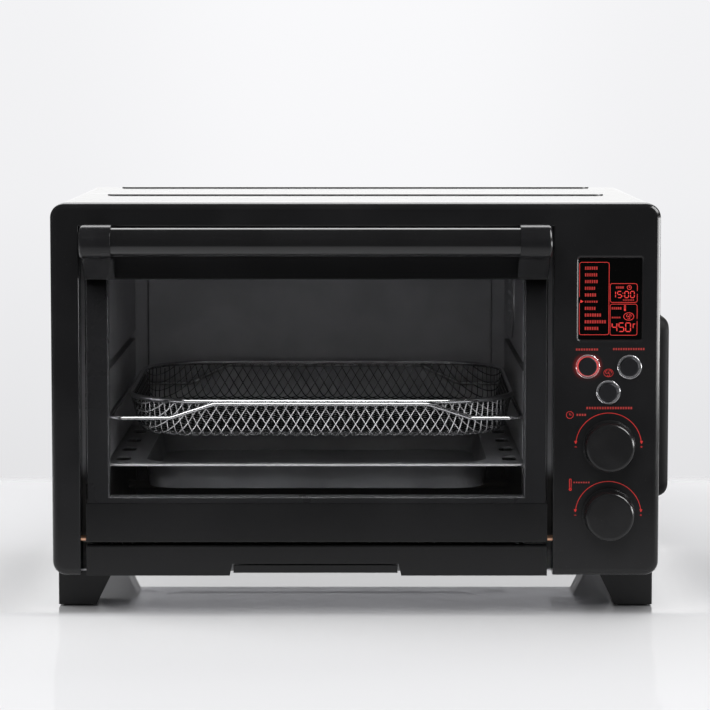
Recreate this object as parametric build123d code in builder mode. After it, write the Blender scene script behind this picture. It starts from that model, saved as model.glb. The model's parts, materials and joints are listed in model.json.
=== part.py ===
from build123d import *
import os
from math import sqrt

os.makedirs("parts", exist_ok=True)

# ---------------------------------------------------------------- driving dimensions, millimetres
# Places are given from the middle of the front face: x to the right, d back from the face, z from the floor.

# Body
body_width = 470
body_height = 288.6
body_depth = 345
foot_height = 32.5
corner_radius = 11
sheet = 1.2
seam = 0.4
clearance = 0.3
fit = 0.05
cut_over = 1

# Screws
screw_core = 1.4
screw_head = 3.2
screw_head_height = 1.6
screw_reach = 5

# Front bezel
left_strip = 22.1
panel_width = 82.2
top_strip = 17.5
bezel_depth = 22
bezel_wall = 3
bezel_round = 5
opening_round = 1.2
boss_radius = 3.2
boss_inset = 10
boss_low = 20
boss_drop = 22

# Outer shell
shell_inset = 0.5
shell_lift = 0.8
roof_drop = 0.3
ridge_height = 0.8
ridge_round = 0.55
ridge_width = 16
ridge_margin = 31
ridge_front = 176
ridge_rear_gap = 9
shell_slots = 10
shell_slot_length = 70
shell_slot_width = 5

# Side vent cover
vent_out = 14.2
vent_from = 60
vent_length = 190
vent_rise = 49.1
vent_height = 150.5
vent_corner = 16
vent_draft = 23
vent_round = 9
vent_wall = 1.5
vent_slots = 14
vent_slot_width = 4.5
vent_slot_margin = 25

# Base pan
base_lift = 0.6
base_flange = 10
emboss_depth = 0.5
emboss_strip = 17
emboss_gap = 9
emboss_end = 20
emboss_corner = 6
inlet_slots = 9
inlet_pitch = 8
inlet_length = 56
inlet_width = 3.5

# Rear panel and cord inlet
rear_corner = 9
rear_flange = 8
rear_screw_edge = 14
slot_length = 56
slot_width = 4
slot_pitch = 9
slot_rows = 8
slot_columns = 4
slot_column_pitch = 70
slots_drop = 68.5
gland_radius = 9
gland_proud = 6
gland_flange = 3
gland_nut = 4
gland_neck = 7
gland_nose = 7.5
gland_bore = 4
gland_edge = 45
gland_rise = 33.5

# Door
door_side_gap = 4.3
door_top_gap = 2
door_bottom_gap = 2.7
door_depth = 18
bottom_rail_height = 30.6
top_rail_height = 39
rail_wall = 1.5
rail_lap = 8
rail_round = 0.8
glass_thickness = 4
glass_setback = 2
glass_edge = 0.6
window_side = 18
window_sill = 4.3
frame_sheet = 1
frame_round = 1.2
pin_back = 3.8
pin_rise = 2.9
pin_radius = 1.5
pin_step = 0.8
pin_reach = 6
pin_seat = 1.5
hinge_block = 10
hinge_block_depth = 12
bumper_radius = 3.5
bumper_inset = 6

# Handle
handle_radius = 11
handle_wall = 2
handle_drop = 8.3
handle_back = 37.1
cap_width = 23.8
cap_wrap = 1.9
cap_shoulder = 12
cap_top_drop = 4
cap_leg = 38
cap_edge = 2.5
cap_socket = 4
cap_screw_drop = 4
cap_screw_radius = 1.95
cap_screw_reach = 13
cap_screw_head = 3.5
cap_screw_head_height = 2.4

# Oven cavity
cavity_left = 20.9
cavity_right = 22.8
cavity_headroom = 8
cavity_rear_gap = 25
liner_sheet = 1
liner_foot = 15.5
frame_low_gap = 1.3
frame_out = 8
frame_sill = 8
back_panel_margin = 10.8
back_panel_low = 32
back_panel_out = 2
back_panel_corner = 12
back_panel_bevel = 1.2
rail_height = 7
rail_depth = 5.5
pan_rise = 81.3
rack_rail_rise = 117.4
upper_rail_rise = 157.5

# Crumb drawer
tray_front_height = 23.4
tray_front_depth = 10
tray_front_round = 1
notch_width = 133.5
notch_height = 9.2
notch_slant = 2.3
tray_sheet = 1
tray_rim = 6
tray_side = 6
tray_rear_gap = 20
tray_lip = 4.5
tray_lip_side = 4
pull_gap = 0.8
pull_front = 0.4
pull_thickness = 1.6
pull_round = 0.5
runner_width = 6
runner_height = 9
runner_front_gap = 4
runner_rear_over = 6

# Rack frame, basket and pan
wire_radius = 1.8
rack_front = 33
rack_rear_gap = 14
rack_in_rail = 0.4
rack_rise = 11
rack_rear_rise = 16
rack_bend = 10
rack_flat_left = 47.6
rack_flat_right = 39.8
rack_slope = 34
basket_front_nest = 3.5
basket_rear_nest = 3
basket_left = 12.2
basket_right = 4.7
basket_depth = 30
basket_corner = 58
basket_skin = 1.4
basket_draft = 14
rim_radius = 2
pan_front = 33
pan_rear_gap = 15
pan_lip = 4.5
pan_lip_corner = 9
pan_flange = 26
pan_end = 12
pan_depth = 20
pan_corner = 28
pan_sheet = 1
pan_bead = 1.6
pan_draft = 10
pan_slots = 4
pan_slot_pitch = 62
pan_slot_width = 11
pan_slot_length = 25
pan_slot_edge = 8
pan_slot_forward = 8

# Heaters, probe and cut-out
heater_radius = 3.2
heater_rise = 41.5
heater_drop = 11
heater_front = 110
heater_rear_gap = 90
heater_over = 6
insulator_radius = 7
insulator_length = 8
probe_radius = 2.5
probe_length = 26
probe_front = 60
probe_drop = 28
probe_flange = 4
probe_flange_height = 3
cutout_length = 26
cutout_width = 12
cutout_height = 8
cutout_corner = 2

# Convection fan
fan_rear_gap = 130
fan_drop = 48.5
fan_radius = 36
fan_width = 13
fan_blades = 8
fan_blade_thickness = 2
fan_hub = 9
fan_gap = 3
fan_hole = 41
grille_lap = 5
grille_hole = 2.6
grille_rows = ((10, 6), (19, 12), (28, 18), (36, 24))
housing_lap = 6
housing_depth = 22
housing_bore_gap = 2
motor_radius = 27
motor_length = 34
motor_stack = 20
motor_stack_from = 6
motor_stack_width = 50
motor_stack_height = 66
shaft_radius = 2.5
shaft_in_motor = 20

# Display
display_off = 2.3
display_drop = 73.5
display_width = 48.3
display_height = 62.6
display_round = 2.8
display_corner = 1.2
lens_back = 2.1
lens_thickness = 2
module_depth = 6
module_lap = 2
module_post = 2

# Buttons: places from the panel's middle and down from the top
button_places = {"left": (-14.9, 125.5), "right": (17.3, 125.9), "lower": (1.1, 145.5)}
button_radius = 7.2
button_travel = 1
button_proud = 2.4
button_round = 0.8
button_flange = 1.2
button_stem = 3
button_stem_length = 3
ring_width = 1.8
ring_proud = 1.6
ring_back = 5
ring_rim = 0.6
ring_round = 0.4
ring_dish = 1
ring_dish_slope = 42
ring_lap = 0.5
switch_size = 8

# Knobs: heights above the body's underside
knob_off = 1.7
knob_rises = {"time": 101.5, "temperature": 48.3}
knob_radius = 18.6
knob_foot = 19.6
knob_skirt = 20.4
knob_skirt_height = 3
knob_length = 19
knob_wall = 2.5
knob_hub = 3
knob_round = 2.4
knob_gap = 0.6
shaft_size = 3
shaft_front = 13
shaft_rear = 12
shaft_flat = 1
encoder_size = 13
encoder_front = 9
encoder_collar = 1.5
encoder_collar_front = 1

# Boards
board_back = 16
board_thickness = 1.6
board_edge = 5
board_low = 9
board_drop = 14
power_left = 13
power_right = 16
power_front = 90
power_rear_gap = 51.6
post_height = 14
post_radius = 3
post_inset = 6
power_blocks = ((-8, 35, 30, 26, 24), (14, 70, 16, 20, 16), (-14, 75, 16, 20, 16), (0, 125, 36, 30, 20))

# Feet
foot_top_width = 45.5
foot_bottom_width = 29.8
foot_length = 38
foot_front = 50
foot_rear_gap = 7
foot_wall = 3
foot_boss = 5
foot_round = 1
foot_screw = 2
pad_height = 1.5
pad_inset = 3
pad_corner = 3

# ---------------------------------------------------------------- places worked out from them
base_z = foot_height
top_z = base_z + body_height
half_width = body_width / 2
shell_half = half_width - shell_inset
shell_top = top_z - roof_drop
opening_x0 = left_strip - half_width
opening_x1 = half_width - panel_width
opening_top = top_z - top_strip
tray_front_top = base_z + tray_front_height
door_x0 = opening_x0 + door_side_gap
door_x1 = opening_x1 - door_side_gap
door_top = opening_top - door_top_gap
door_bottom = tray_front_top + door_bottom_gap
pin_z = door_bottom + pin_rise
collar_radius = pin_radius + pin_step
window_bottom = door_bottom + bottom_rail_height + window_sill
window_top = door_top - top_rail_height
window_x0 = door_x0 + window_side
window_x1 = door_x1 - window_side
handle_z = door_top - handle_drop
cavity_x0 = opening_x0 + cavity_left
cavity_x1 = opening_x1 - cavity_right
cavity_mid = (cavity_x0 + cavity_x1) / 2
cavity_top = opening_top - cavity_headroom
cavity_back = body_depth - cavity_rear_gap
liner_bottom = base_z + liner_foot
plate_front = bezel_depth
plate_back = plate_front + sheet
pan_level = base_z + pan_rise
rack_level = base_z + rack_rail_rise
rail_levels = (pan_level, rack_level, base_z + upper_rail_rise)
heater_levels = (base_z + heater_rise, cavity_top - heater_drop)
heater_places = [(d, z) for d in (heater_front, cavity_back - heater_rear_gap) for z in heater_levels]
probe_place = (probe_front, cavity_top - probe_drop)
fan_place = (cavity_back - fan_rear_gap, cavity_top - fan_drop)
base_low = base_z + base_lift
base_top = base_low + sheet
base_half = shell_half - sheet - clearance
rear_face = body_depth - sheet - base_lift
rear_inner = rear_face - sheet
base_rear = rear_inner - seam
panel_x = half_width - panel_width / 2
display_place = (panel_x + display_off, top_z - display_drop)
button_centres = {name: (panel_x + off, top_z - drop) for name, (off, drop) in button_places.items()}
knob_x = panel_x + knob_off
knob_centres = {name: (knob_x, base_z + rise) for name, rise in knob_rises.items()}
ring_bore = button_radius + clearance
ring_radius = ring_bore + ring_width

cap_half = handle_radius + cap_wrap
handle_reach = handle_back + cap_half

# The origin is the middle of the whole oven's footprint, on the floor.
mid_x = -(vent_out - shell_inset) / 2
face_y = -(rear_face + gland_proud - handle_reach) / 2
front = Plane(origin=(mid_x, face_y, 0), x_dir=(1, 0, 0), z_dir=(0, -1, 0))
level = Plane(origin=(mid_x, face_y, 0))
side = Plane(origin=(mid_x, face_y, 0), x_dir=(0, 1, 0), z_dir=(1, 0, 0))


def behind(d):
    """Upright plane d behind the front face: sketches are in x and z, and extrusions come forward."""
    return front.offset(-d)


def area(x0, x1, y0, y1, mode=Mode.ADD):
    """Rectangle between two corners of the current sketch."""
    with Locations(((x0 + x1) / 2, (y0 + y1) / 2)):
        Rectangle(x1 - x0, y1 - y0, mode=mode)


def soft_area(x0, x1, y0, y1, radius, mode=Mode.ADD):
    """Rounded rectangle between two corners of the current sketch."""
    with Locations(((x0 + x1) / 2, (y0 + y1) / 2)):
        RectangleRounded(x1 - x0, y1 - y0, radius, mode=mode)


def discs(places, radius, mode=Mode.ADD):
    """Round outlines of one size at several places of the current sketch."""
    with Locations(*places):
        Circle(radius, mode=mode)


def save(piece, label):
    piece.part.label = label
    export_step(piece.part, f"parts/{label}.step")


# ---------------------------------------------------------------- front bezel
def bezel_outline(inset):
    """The bezel's outline, drawn in by a wall and open below the door."""
    soft_area(inset - half_width, half_width - inset, base_z + inset, top_z - inset, corner_radius - inset)
    area(opening_x0 - inset, opening_x1 + inset, base_z - cut_over, opening_top + inset, Mode.SUBTRACT)


def round_the_opening(edge):
    """True for an edge of the face that borders the door's opening."""
    place = front.to_local_coords(edge.center())
    return opening_x0 - cut_over < place.X < opening_x1 + cut_over and place.Y < opening_top + cut_over


def round_the_display(edge):
    """True for an edge of the face that borders the display's window."""
    place = front.to_local_coords(edge.center()) - Vector(*display_place)
    on_face = abs(place.Z) < 0.01
    return on_face and abs(place.X) <= display_width / 2 + fit and abs(place.Y) <= display_height / 2 + fit


boss_places = [(x, z) for x in (opening_x1 + boss_inset, half_width - boss_inset)
               for z in (base_z + boss_low, top_z - boss_drop)]
pin_bore_length = bezel_wall + pin_seat + clearance

with BuildPart() as front_bezel:
    with BuildSketch(behind(bezel_depth)):
        bezel_outline(0)
    extrude(amount=bezel_depth)
    rim = front_bezel.faces().sort_by(Axis.Y)[0].outer_wire().edges()
    fillet(rim.filter_by(lambda edge: not round_the_opening(edge)), bezel_round)
    brim = front_bezel.faces().sort_by(Axis.Y)[0].outer_wire().edges()
    fillet(brim.filter_by(round_the_opening), opening_round)
    with BuildSketch(behind(bezel_depth)):
        bezel_outline(bezel_wall)
    extrude(amount=bezel_depth - bezel_wall, mode=Mode.SUBTRACT)
    with BuildSketch(behind(bezel_depth)):
        with Locations(display_place):
            RectangleRounded(display_width, display_height, display_corner)
        discs(button_centres.values(), ring_radius + fit)
        discs(knob_centres.values(), shaft_size + encoder_collar + clearance)
    extrude(amount=bezel_depth, mode=Mode.SUBTRACT)
    fillet(front_bezel.edges().filter_by(round_the_display), display_round)
    with BuildSketch(behind(board_back)):
        discs(boss_places, boss_radius)
        discs(boss_places, screw_core + fit, Mode.SUBTRACT)
    extrude(amount=board_back - bezel_wall)
    for x in (opening_x0 - pin_bore_length, opening_x1):
        with BuildSketch(side.offset(x)):
            discs([(pin_back, pin_z)], collar_radius + fit)
        extrude(amount=pin_bore_length, mode=Mode.SUBTRACT)
save(front_bezel, "front_bezel")

# ---------------------------------------------------------------- outer shell
shell_front = bezel_depth + seam
shell_low = base_z + shell_lift
vent_mid = (vent_from + vent_length / 2, base_z + vent_rise + vent_height / 2)


def arch(half, top, radius, low):
    """Upright arch: flat top, rounded shoulders and straight legs."""
    soft_area(-half, half, low - 4 * radius, top, radius)
    area(-half - cut_over, half + cut_over, low - 4 * radius - cut_over, low, Mode.SUBTRACT)


def ridge(grow):
    """Long pressed ridges across the roof."""
    for place in (ridge_front, body_depth - ridge_rear_gap):
        with Locations((0, place)):
            SlotOverall(body_width - 2 * ridge_margin + 2 * grow, ridge_width + 2 * grow)


with BuildPart() as outer_shell:
    with BuildSketch(behind(body_depth)):
        arch(shell_half, shell_top, corner_radius, shell_low)
    extrude(amount=body_depth - shell_front)
    with BuildSketch(level.offset(shell_top)):
        ridge(0)
    extrude(amount=ridge_height)
    crests = outer_shell.edges().group_by(Axis.Z)[-1]
    fillet(crests, ridge_round)
    with BuildSketch(behind(body_depth)):
        arch(shell_half - sheet, shell_top - sheet, corner_radius - sheet, shell_low - cut_over)
    extrude(amount=body_depth - shell_front, mode=Mode.SUBTRACT)
    with BuildSketch(level.offset(shell_top - sheet)):
        ridge(-sheet)
    extrude(amount=ridge_height, mode=Mode.SUBTRACT)
    with BuildSketch(side.offset(shell_half - sheet - cut_over)):
        with Locations(vent_mid):
            with GridLocations(vent_length / (shell_slots + 4), 0, shell_slots, 1):
                SlotOverall(shell_slot_length, shell_slot_width, rotation=90)
    extrude(amount=sheet + 2 * cut_over, mode=Mode.SUBTRACT)
save(outer_shell, "outer_shell")


# ---------------------------------------------------------------- side vent cover
def vent_skin(inset):
    """Drafted, round-edged block on the side wall, drawn in by a wall."""
    with BuildPart() as skin:
        with BuildSketch(side.offset(shell_half)):
            with Locations(vent_mid):
                RectangleRounded(vent_length - 2 * inset, vent_height - 2 * inset, vent_corner - inset)
        extrude(amount=vent_out - inset, taper=vent_draft)
        fillet(skin.faces().sort_by(Axis.X)[-1].edges(), vent_round - inset)
    return skin.part


vent_block = vent_skin(0)
vent_hollow = vent_skin(vent_wall)
with BuildPart() as side_vent_cover:
    add(vent_block)
    add(vent_hollow, mode=Mode.SUBTRACT)
    with BuildSketch(side.offset(shell_half + vent_out - vent_wall - cut_over)):
        with Locations(vent_mid):
            with GridLocations(vent_length / (vent_slots + 2), 0, vent_slots, 1):
                SlotOverall(vent_height - 2 * vent_slot_margin, vent_slot_width, rotation=90)
    extrude(amount=vent_wall + 2 * cut_over, mode=Mode.SUBTRACT)
save(side_vent_cover, "side_vent_cover")

# ---------------------------------------------------------------- base pan
duct_left = opening_x1 + board_edge
emboss_from = foot_front - emboss_end
emboss_to = base_rear - emboss_end
strip_in = emboss_strip + emboss_gap
inlet_x = (duct_left + base_half) / 2
inlet_span = inlet_slots * inlet_pitch / 2

with BuildPart() as base_pan:
    with BuildSketch(level.offset(base_low)):
        area(-base_half, base_half, shell_front, base_rear)
    extrude(amount=sheet)
    with BuildSketch(level.offset(base_top)):
        area(-base_half, sheet - base_half, shell_front, base_rear)
        area(base_half - sheet, base_half, shell_front, base_rear)
        area(-base_half, base_half, base_rear - sheet, base_rear)
    extrude(amount=base_flange)
    with BuildSketch(level.offset(base_low)):
        soft_area(cavity_x0, cavity_x0 + emboss_strip, emboss_from, emboss_to, emboss_corner)
        soft_area(cavity_x1 - emboss_strip, cavity_x1, emboss_from, emboss_to, emboss_corner)
        soft_area(cavity_x0 + strip_in, cavity_x1 - strip_in, emboss_from + emboss_corner,
                  emboss_to - emboss_corner, 3 * emboss_corner)
    extrude(amount=emboss_depth, mode=Mode.SUBTRACT)
    with BuildSketch(level.offset(base_low)):
        for d in (foot_front + foot_length + inlet_span + emboss_end / 2,
                  base_rear - foot_rear_gap - foot_length - inlet_span - emboss_end / 2):
            with Locations((inlet_x, d)):
                with GridLocations(0, inlet_pitch, 1, inlet_slots):
                    SlotOverall(inlet_length, inlet_width)
    extrude(amount=sheet, mode=Mode.SUBTRACT)
save(base_pan, "base_pan")

# ---------------------------------------------------------------- rear panel
rear_low = base_top + clearance
rear_high = shell_top - sheet - clearance
rear_mid = (rear_low + rear_high) / 2
gland_place = (half_width - gland_edge, base_z + gland_rise)
rear_screw_places = [(x, z) for x in (rear_screw_edge - base_half, base_half - rear_screw_edge)
                     for z in (rear_low + rear_screw_edge, rear_mid, rear_high - rear_screw_edge)]
rear_screw_places += [(0, rear_low + rear_screw_edge), (0, rear_high - rear_screw_edge)]


def rear_slots(x, columns):
    """Block of flat vent slots centred on x."""
    with Locations((x, top_z - slots_drop)):
        with GridLocations(slot_column_pitch, slot_pitch, columns, slot_rows):
            SlotOverall(slot_length, slot_width)


with BuildPart() as rear_panel:
    with BuildSketch(behind(rear_face)):
        soft_area(-base_half, base_half, rear_low, rear_high, rear_corner)
    extrude(amount=sheet)
    with BuildSketch(behind(rear_inner)):
        soft_area(-base_half, base_half, rear_low, rear_high, rear_corner)
        soft_area(sheet - base_half, base_half - sheet, rear_low + sheet, rear_high - sheet,
                  rear_corner - sheet, Mode.SUBTRACT)
        area(-base_half - cut_over, base_half + cut_over, rear_low - cut_over,
             rear_low + base_flange + 2 * cut_over, Mode.SUBTRACT)
    extrude(amount=rear_flange)
    with BuildSketch(behind(rear_face)):
        rear_slots(inlet_x, 1)
        rear_slots(cavity_mid, slot_columns)
        discs([gland_place], gland_neck)
        discs(rear_screw_places, screw_core + fit)
    extrude(amount=sheet, mode=Mode.SUBTRACT)
save(rear_panel, "rear_panel")

with BuildPart() as rear_screws:
    with BuildSketch(behind(rear_face)):
        discs(rear_screw_places, screw_core)
    extrude(amount=sheet + screw_reach)
    with BuildSketch(behind(rear_face + screw_head_height)):
        discs(rear_screw_places, screw_head)
    extrude(amount=screw_head_height)
save(rear_screws, "rear_screws")

with BuildPart() as cord_gland:
    for back, length, radius in ((rear_face + gland_proud, gland_proud, gland_nose),
                                 (rear_face + gland_flange, gland_flange, gland_radius),
                                 (rear_face, sheet, gland_neck - fit),
                                 (rear_inner, gland_nut, gland_radius)):
        with BuildSketch(behind(back)):
            discs([gland_place], radius)
        extrude(amount=length)
    with BuildSketch(behind(rear_face + gland_proud)):
        discs([gland_place], gland_bore)
    extrude(amount=gland_proud + sheet + gland_nut, mode=Mode.SUBTRACT)
save(cord_gland, "cord_gland")


# ---------------------------------------------------------------- oven cavity
def cavity_outline(grow, low):
    """Section across the cavity: roof, walls and the rail channels pressed outwards."""
    area(cavity_x0 - grow, cavity_x1 + grow, low, cavity_top + grow)
    for rail in rail_levels:
        area(cavity_x0 - rail_depth - grow, cavity_x1 + rail_depth + grow,
             rail - grow, rail + rail_height + grow)


frame_low = tray_front_top + frame_low_gap
liner_length = cavity_back - plate_back
cavity_width = cavity_x1 - cavity_x0

with BuildPart() as front_frame:
    with BuildSketch(behind(plate_back)):
        area(opening_x0 - frame_out, opening_x1 + frame_out, frame_low, opening_top + frame_out)
    extrude(amount=sheet)
    with BuildSketch(behind(plate_back)):
        cavity_outline(0, frame_low + frame_sill)
    extrude(amount=sheet, mode=Mode.SUBTRACT)
save(front_frame, "front_frame")

with BuildPart() as cavity_liner:
    with BuildSketch(behind(cavity_back)):
        cavity_outline(liner_sheet, liner_bottom)
    extrude(amount=liner_length)
    with BuildSketch(behind(cavity_back)):
        cavity_outline(0, liner_bottom - cut_over)
    extrude(amount=liner_length, mode=Mode.SUBTRACT)
    with BuildSketch(side.offset(cavity_x1 - cut_over)):
        discs([fan_place], fan_hole)
        discs([probe_place], probe_radius + clearance)
    extrude(amount=liner_sheet + 2 * cut_over, mode=Mode.SUBTRACT)
    with BuildSketch(side.offset(cavity_x0 - liner_sheet - cut_over)):
        discs(heater_places, heater_radius + clearance)
    extrude(amount=cavity_width + 2 * liner_sheet + 2 * cut_over, mode=Mode.SUBTRACT)
save(cavity_liner, "cavity_liner")

with BuildPart() as cavity_rear_wall:
    with BuildSketch(behind(cavity_back + liner_sheet)):
        area(cavity_x0 - rail_depth - liner_sheet, cavity_x1 + rail_depth + liner_sheet,
             liner_bottom, cavity_top + liner_sheet)
    extrude(amount=liner_sheet)
    with BuildSketch(behind(cavity_back)):
        soft_area(cavity_x0 + back_panel_margin, cavity_x1 - back_panel_margin,
                  liner_bottom + back_panel_low, cavity_top - back_panel_margin, back_panel_corner)
    extrude(amount=back_panel_out)
    chamfer(cavity_rear_wall.edges().group_by(Axis.Y)[0], back_panel_bevel)
save(cavity_rear_wall, "cavity_rear_wall")

# ---------------------------------------------------------------- heaters, probe and cut-out
heater_end = liner_sheet + insulator_length + heater_over
for name, z in zip(("lower", "upper"), heater_levels):
    with BuildPart() as heaters:
        with BuildSketch(side.offset(cavity_x0 - heater_end)):
            discs([place for place in heater_places if place[1] == z], heater_radius)
        extrude(amount=cavity_width + 2 * heater_end)
    save(heaters, f"{name}_heaters")

with BuildPart() as heater_insulators:
    for x in (cavity_x0 - liner_sheet - insulator_length, cavity_x1 + liner_sheet):
        with BuildSketch(side.offset(x)):
            discs(heater_places, insulator_radius)
            discs(heater_places, heater_radius + fit, Mode.SUBTRACT)
        extrude(amount=insulator_length)
save(heater_insulators, "heater_insulators")

with BuildPart() as temperature_probe:
    with BuildSketch(side.offset(cavity_x1 - probe_length)):
        discs([probe_place], probe_radius)
    extrude(amount=probe_length + liner_sheet)
    with BuildSketch(side.offset(cavity_x1 + liner_sheet)):
        discs([probe_place], probe_radius + probe_flange)
    extrude(amount=probe_flange_height)
save(temperature_probe, "temperature_probe")

with BuildPart() as thermal_cutout:
    with BuildSketch(level.offset(cavity_top + liner_sheet)):
        with Locations((cavity_mid, cavity_back / 2)):
            Rectangle(cutout_length, cutout_width)
    extrude(amount=cutout_height)
    fillet(thermal_cutout.edges().filter_by(Axis.Z), cutout_corner)
save(thermal_cutout, "thermal_cutout")

# ---------------------------------------------------------------- convection fan
housing_radius = fan_hole + housing_lap
housing_x = cavity_x1 + liner_sheet
fan_x = housing_x + fan_gap
motor_x = housing_x + housing_depth
blade_length = fan_radius - fan_hub + cut_over
blade_middle = (fan_radius + fan_hub) / 2 - cut_over

with BuildPart() as fan_grille:
    with BuildSketch(side.offset(cavity_x1 - sheet)):
        with Locations(fan_place):
            Circle(fan_hole + grille_lap)
            for radius, count in grille_rows:
                with PolarLocations(radius, count):
                    Circle(grille_hole, mode=Mode.SUBTRACT)
    extrude(amount=sheet)
save(fan_grille, "fan_grille")

with BuildPart() as fan_housing:
    with BuildSketch(side.offset(housing_x)):
        discs([fan_place], housing_radius)
    extrude(amount=housing_depth)
    with BuildSketch(side.offset(housing_x)):
        discs([fan_place], housing_radius - sheet)
    extrude(amount=housing_depth - sheet, mode=Mode.SUBTRACT)
    with BuildSketch(side.offset(housing_x)):
        discs([fan_place], shaft_radius + housing_bore_gap)
    extrude(amount=housing_depth, mode=Mode.SUBTRACT)
save(fan_housing, "fan_housing")

with BuildPart() as convection_fan:
    with BuildSketch(side.offset(fan_x)):
        discs([fan_place], fan_hub)
        discs([fan_place], shaft_radius + fit, Mode.SUBTRACT)
    extrude(amount=fan_width)
    with BuildSketch(side.offset(fan_x + fan_width - sheet)):
        discs([fan_place], fan_radius)
        discs([fan_place], shaft_radius + fit, Mode.SUBTRACT)
    extrude(amount=sheet)
    with BuildSketch(side.offset(fan_x)):
        with Locations(fan_place):
            with PolarLocations(blade_middle, fan_blades):
                Rectangle(blade_length, fan_blade_thickness)
    extrude(amount=fan_width)
save(convection_fan, "convection_fan")

with BuildPart() as fan_shaft:
    with BuildSketch(side.offset(fan_x - cut_over)):
        discs([fan_place], shaft_radius)
    extrude(amount=motor_x - fan_x + shaft_in_motor)
save(fan_shaft, "fan_shaft")

with BuildPart() as fan_motor:
    with BuildSketch(side.offset(motor_x)):
        discs([fan_place], motor_radius)
    extrude(amount=motor_length)
    with BuildSketch(side.offset(motor_x + motor_stack_from)):
        with Locations(fan_place):
            Rectangle(motor_stack_width, motor_stack_height)
    extrude(amount=motor_stack)
    with BuildSketch(side.offset(motor_x)):
        discs([fan_place], shaft_radius + fit)
    extrude(amount=shaft_in_motor + 2 * cut_over, mode=Mode.SUBTRACT)
save(fan_motor, "fan_motor")

# ---------------------------------------------------------------- crumb drawer
tray_x0 = cavity_x0 + tray_side
tray_x1 = cavity_x1 - tray_side
tray_low = base_top + clearance
tray_rear = cavity_back - tray_rear_gap
notch_x0 = cavity_mid - notch_width / 2
notch_x1 = cavity_mid + notch_width / 2
lip_x0 = notch_x0 + tray_lip_side + notch_slant
lip_x1 = notch_x1 - tray_lip_side - notch_slant
lip_front = pull_front + pull_thickness + fit
pull_x0 = notch_x0 + notch_slant + pull_gap
pull_x1 = notch_x1 - notch_slant - pull_gap

with BuildPart() as tray_front:
    with BuildSketch(behind(tray_front_depth)):
        area(door_x0, door_x1, base_z, tray_front_top)
    extrude(amount=tray_front_depth)
    with BuildSketch(behind(tray_front_depth)):
        area(door_x0 + rail_wall, door_x1 - rail_wall, base_z + rail_wall, tray_front_top - rail_wall)
    extrude(amount=tray_front_depth - rail_wall, mode=Mode.SUBTRACT)
    with BuildSketch(behind(tray_front_depth)):
        with BuildLine():
            Polyline((notch_x0, base_z - cut_over), (notch_x0 + notch_slant, base_z + notch_height),
                     (notch_x1 - notch_slant, base_z + notch_height), (notch_x1, base_z - cut_over),
                     close=True)
        make_face()
    extrude(amount=tray_front_depth, mode=Mode.SUBTRACT)
    upper_edge = tray_front.edges().filter_by(Axis.X).group_by(Axis.Y)[0].sort_by(Axis.Z)[-1]
    fillet(upper_edge, tray_front_round)
save(tray_front, "tray_front")

with BuildPart() as crumb_tray:
    with BuildSketch(level.offset(tray_low)):
        area(tray_x0, tray_x1, tray_front_depth, tray_rear)
        area(lip_x0, lip_x1, lip_front, tray_front_depth)
    extrude(amount=tray_sheet)
    with BuildSketch(level.offset(tray_low)):
        area(tray_x0, tray_x1, tray_front_depth, tray_rear)
        area(tray_x0 + tray_sheet, tray_x1 - tray_sheet, tray_front_depth + tray_sheet,
             tray_rear - tray_sheet, Mode.SUBTRACT)
    extrude(amount=tray_rim)
    with BuildSketch(level.offset(tray_low)):
        area(tray_x0, tray_x1, tray_front_depth, tray_front_depth + tray_sheet)
    extrude(amount=tray_front_top - tray_low - cut_over)
    with BuildSketch(level.offset(tray_low)):
        area(lip_x0, lip_x1, lip_front, lip_front + tray_sheet)
    extrude(amount=tray_lip)
save(crumb_tray, "crumb_tray")

with BuildPart() as tray_pull:
    with BuildSketch(behind(pull_front + pull_thickness)):
        area(pull_x0, pull_x1, tray_low, base_z + notch_height - pull_gap)
    extrude(amount=pull_thickness)
    fillet(tray_pull.faces().sort_by(Axis.Y)[0].edges(), pull_round)
save(tray_pull, "tray_pull")

runner_from = shell_front + runner_front_gap
runner_to = tray_rear + runner_rear_over
with BuildPart() as tray_runners:
    for near, way in ((tray_x0 - clearance, -1), (tray_x1 + clearance, 1)):
        far = near + way * runner_width
        for edge, height in ((near, sheet), (far - way * sheet, runner_height)):
            with BuildSketch(level.offset(base_top)):
                area(min(edge, far), max(edge, far), runner_from, runner_to)
            extrude(amount=height)
save(tray_runners, "tray_runners")


# ---------------------------------------------------------------- door
def rail_returns(ends_low, ends_high, flange_low):
    """Section of a folded door rail behind its front wall: one long flange and two end plates."""
    area(door_x0, door_x1, flange_low, flange_low + frame_sheet)
    area(door_x0, door_x0 + frame_sheet, ends_low, ends_high)
    area(door_x1 - frame_sheet, door_x1, ends_low, ends_high)


glass_low = door_bottom + bottom_rail_height - rail_lap
glass_high = window_top + rail_lap
screw_z = handle_z - cap_screw_drop
screw_places = [(x, screw_z) for x in (door_x0 + cap_width / 2, door_x1 - cap_width / 2)]
pin_bore = pin_reach + cut_over

with BuildPart() as door_bottom_rail:
    with BuildSketch(behind(rail_wall)):
        area(door_x0, door_x1, door_bottom, door_bottom + bottom_rail_height)
    extrude(amount=rail_wall)
    with BuildSketch(behind(door_depth)):
        rail_returns(door_bottom, glass_low - clearance, door_bottom)
    extrude(amount=door_depth)
    with BuildSketch(level.offset(door_bottom)):
        area(door_x0, door_x0 + hinge_block, 0, hinge_block_depth)
        area(door_x1 - hinge_block, door_x1, 0, hinge_block_depth)
    extrude(amount=hinge_block)
    fillet(door_bottom_rail.edges().filter_by(Axis.X).group_by(Axis.Y)[0], rail_round)
    for x in (door_x0, door_x1 - pin_bore):
        with BuildSketch(side.offset(x)):
            discs([(pin_back, pin_z)], pin_radius + fit)
        extrude(amount=pin_bore, mode=Mode.SUBTRACT)
save(door_bottom_rail, "door_bottom_rail")

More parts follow.
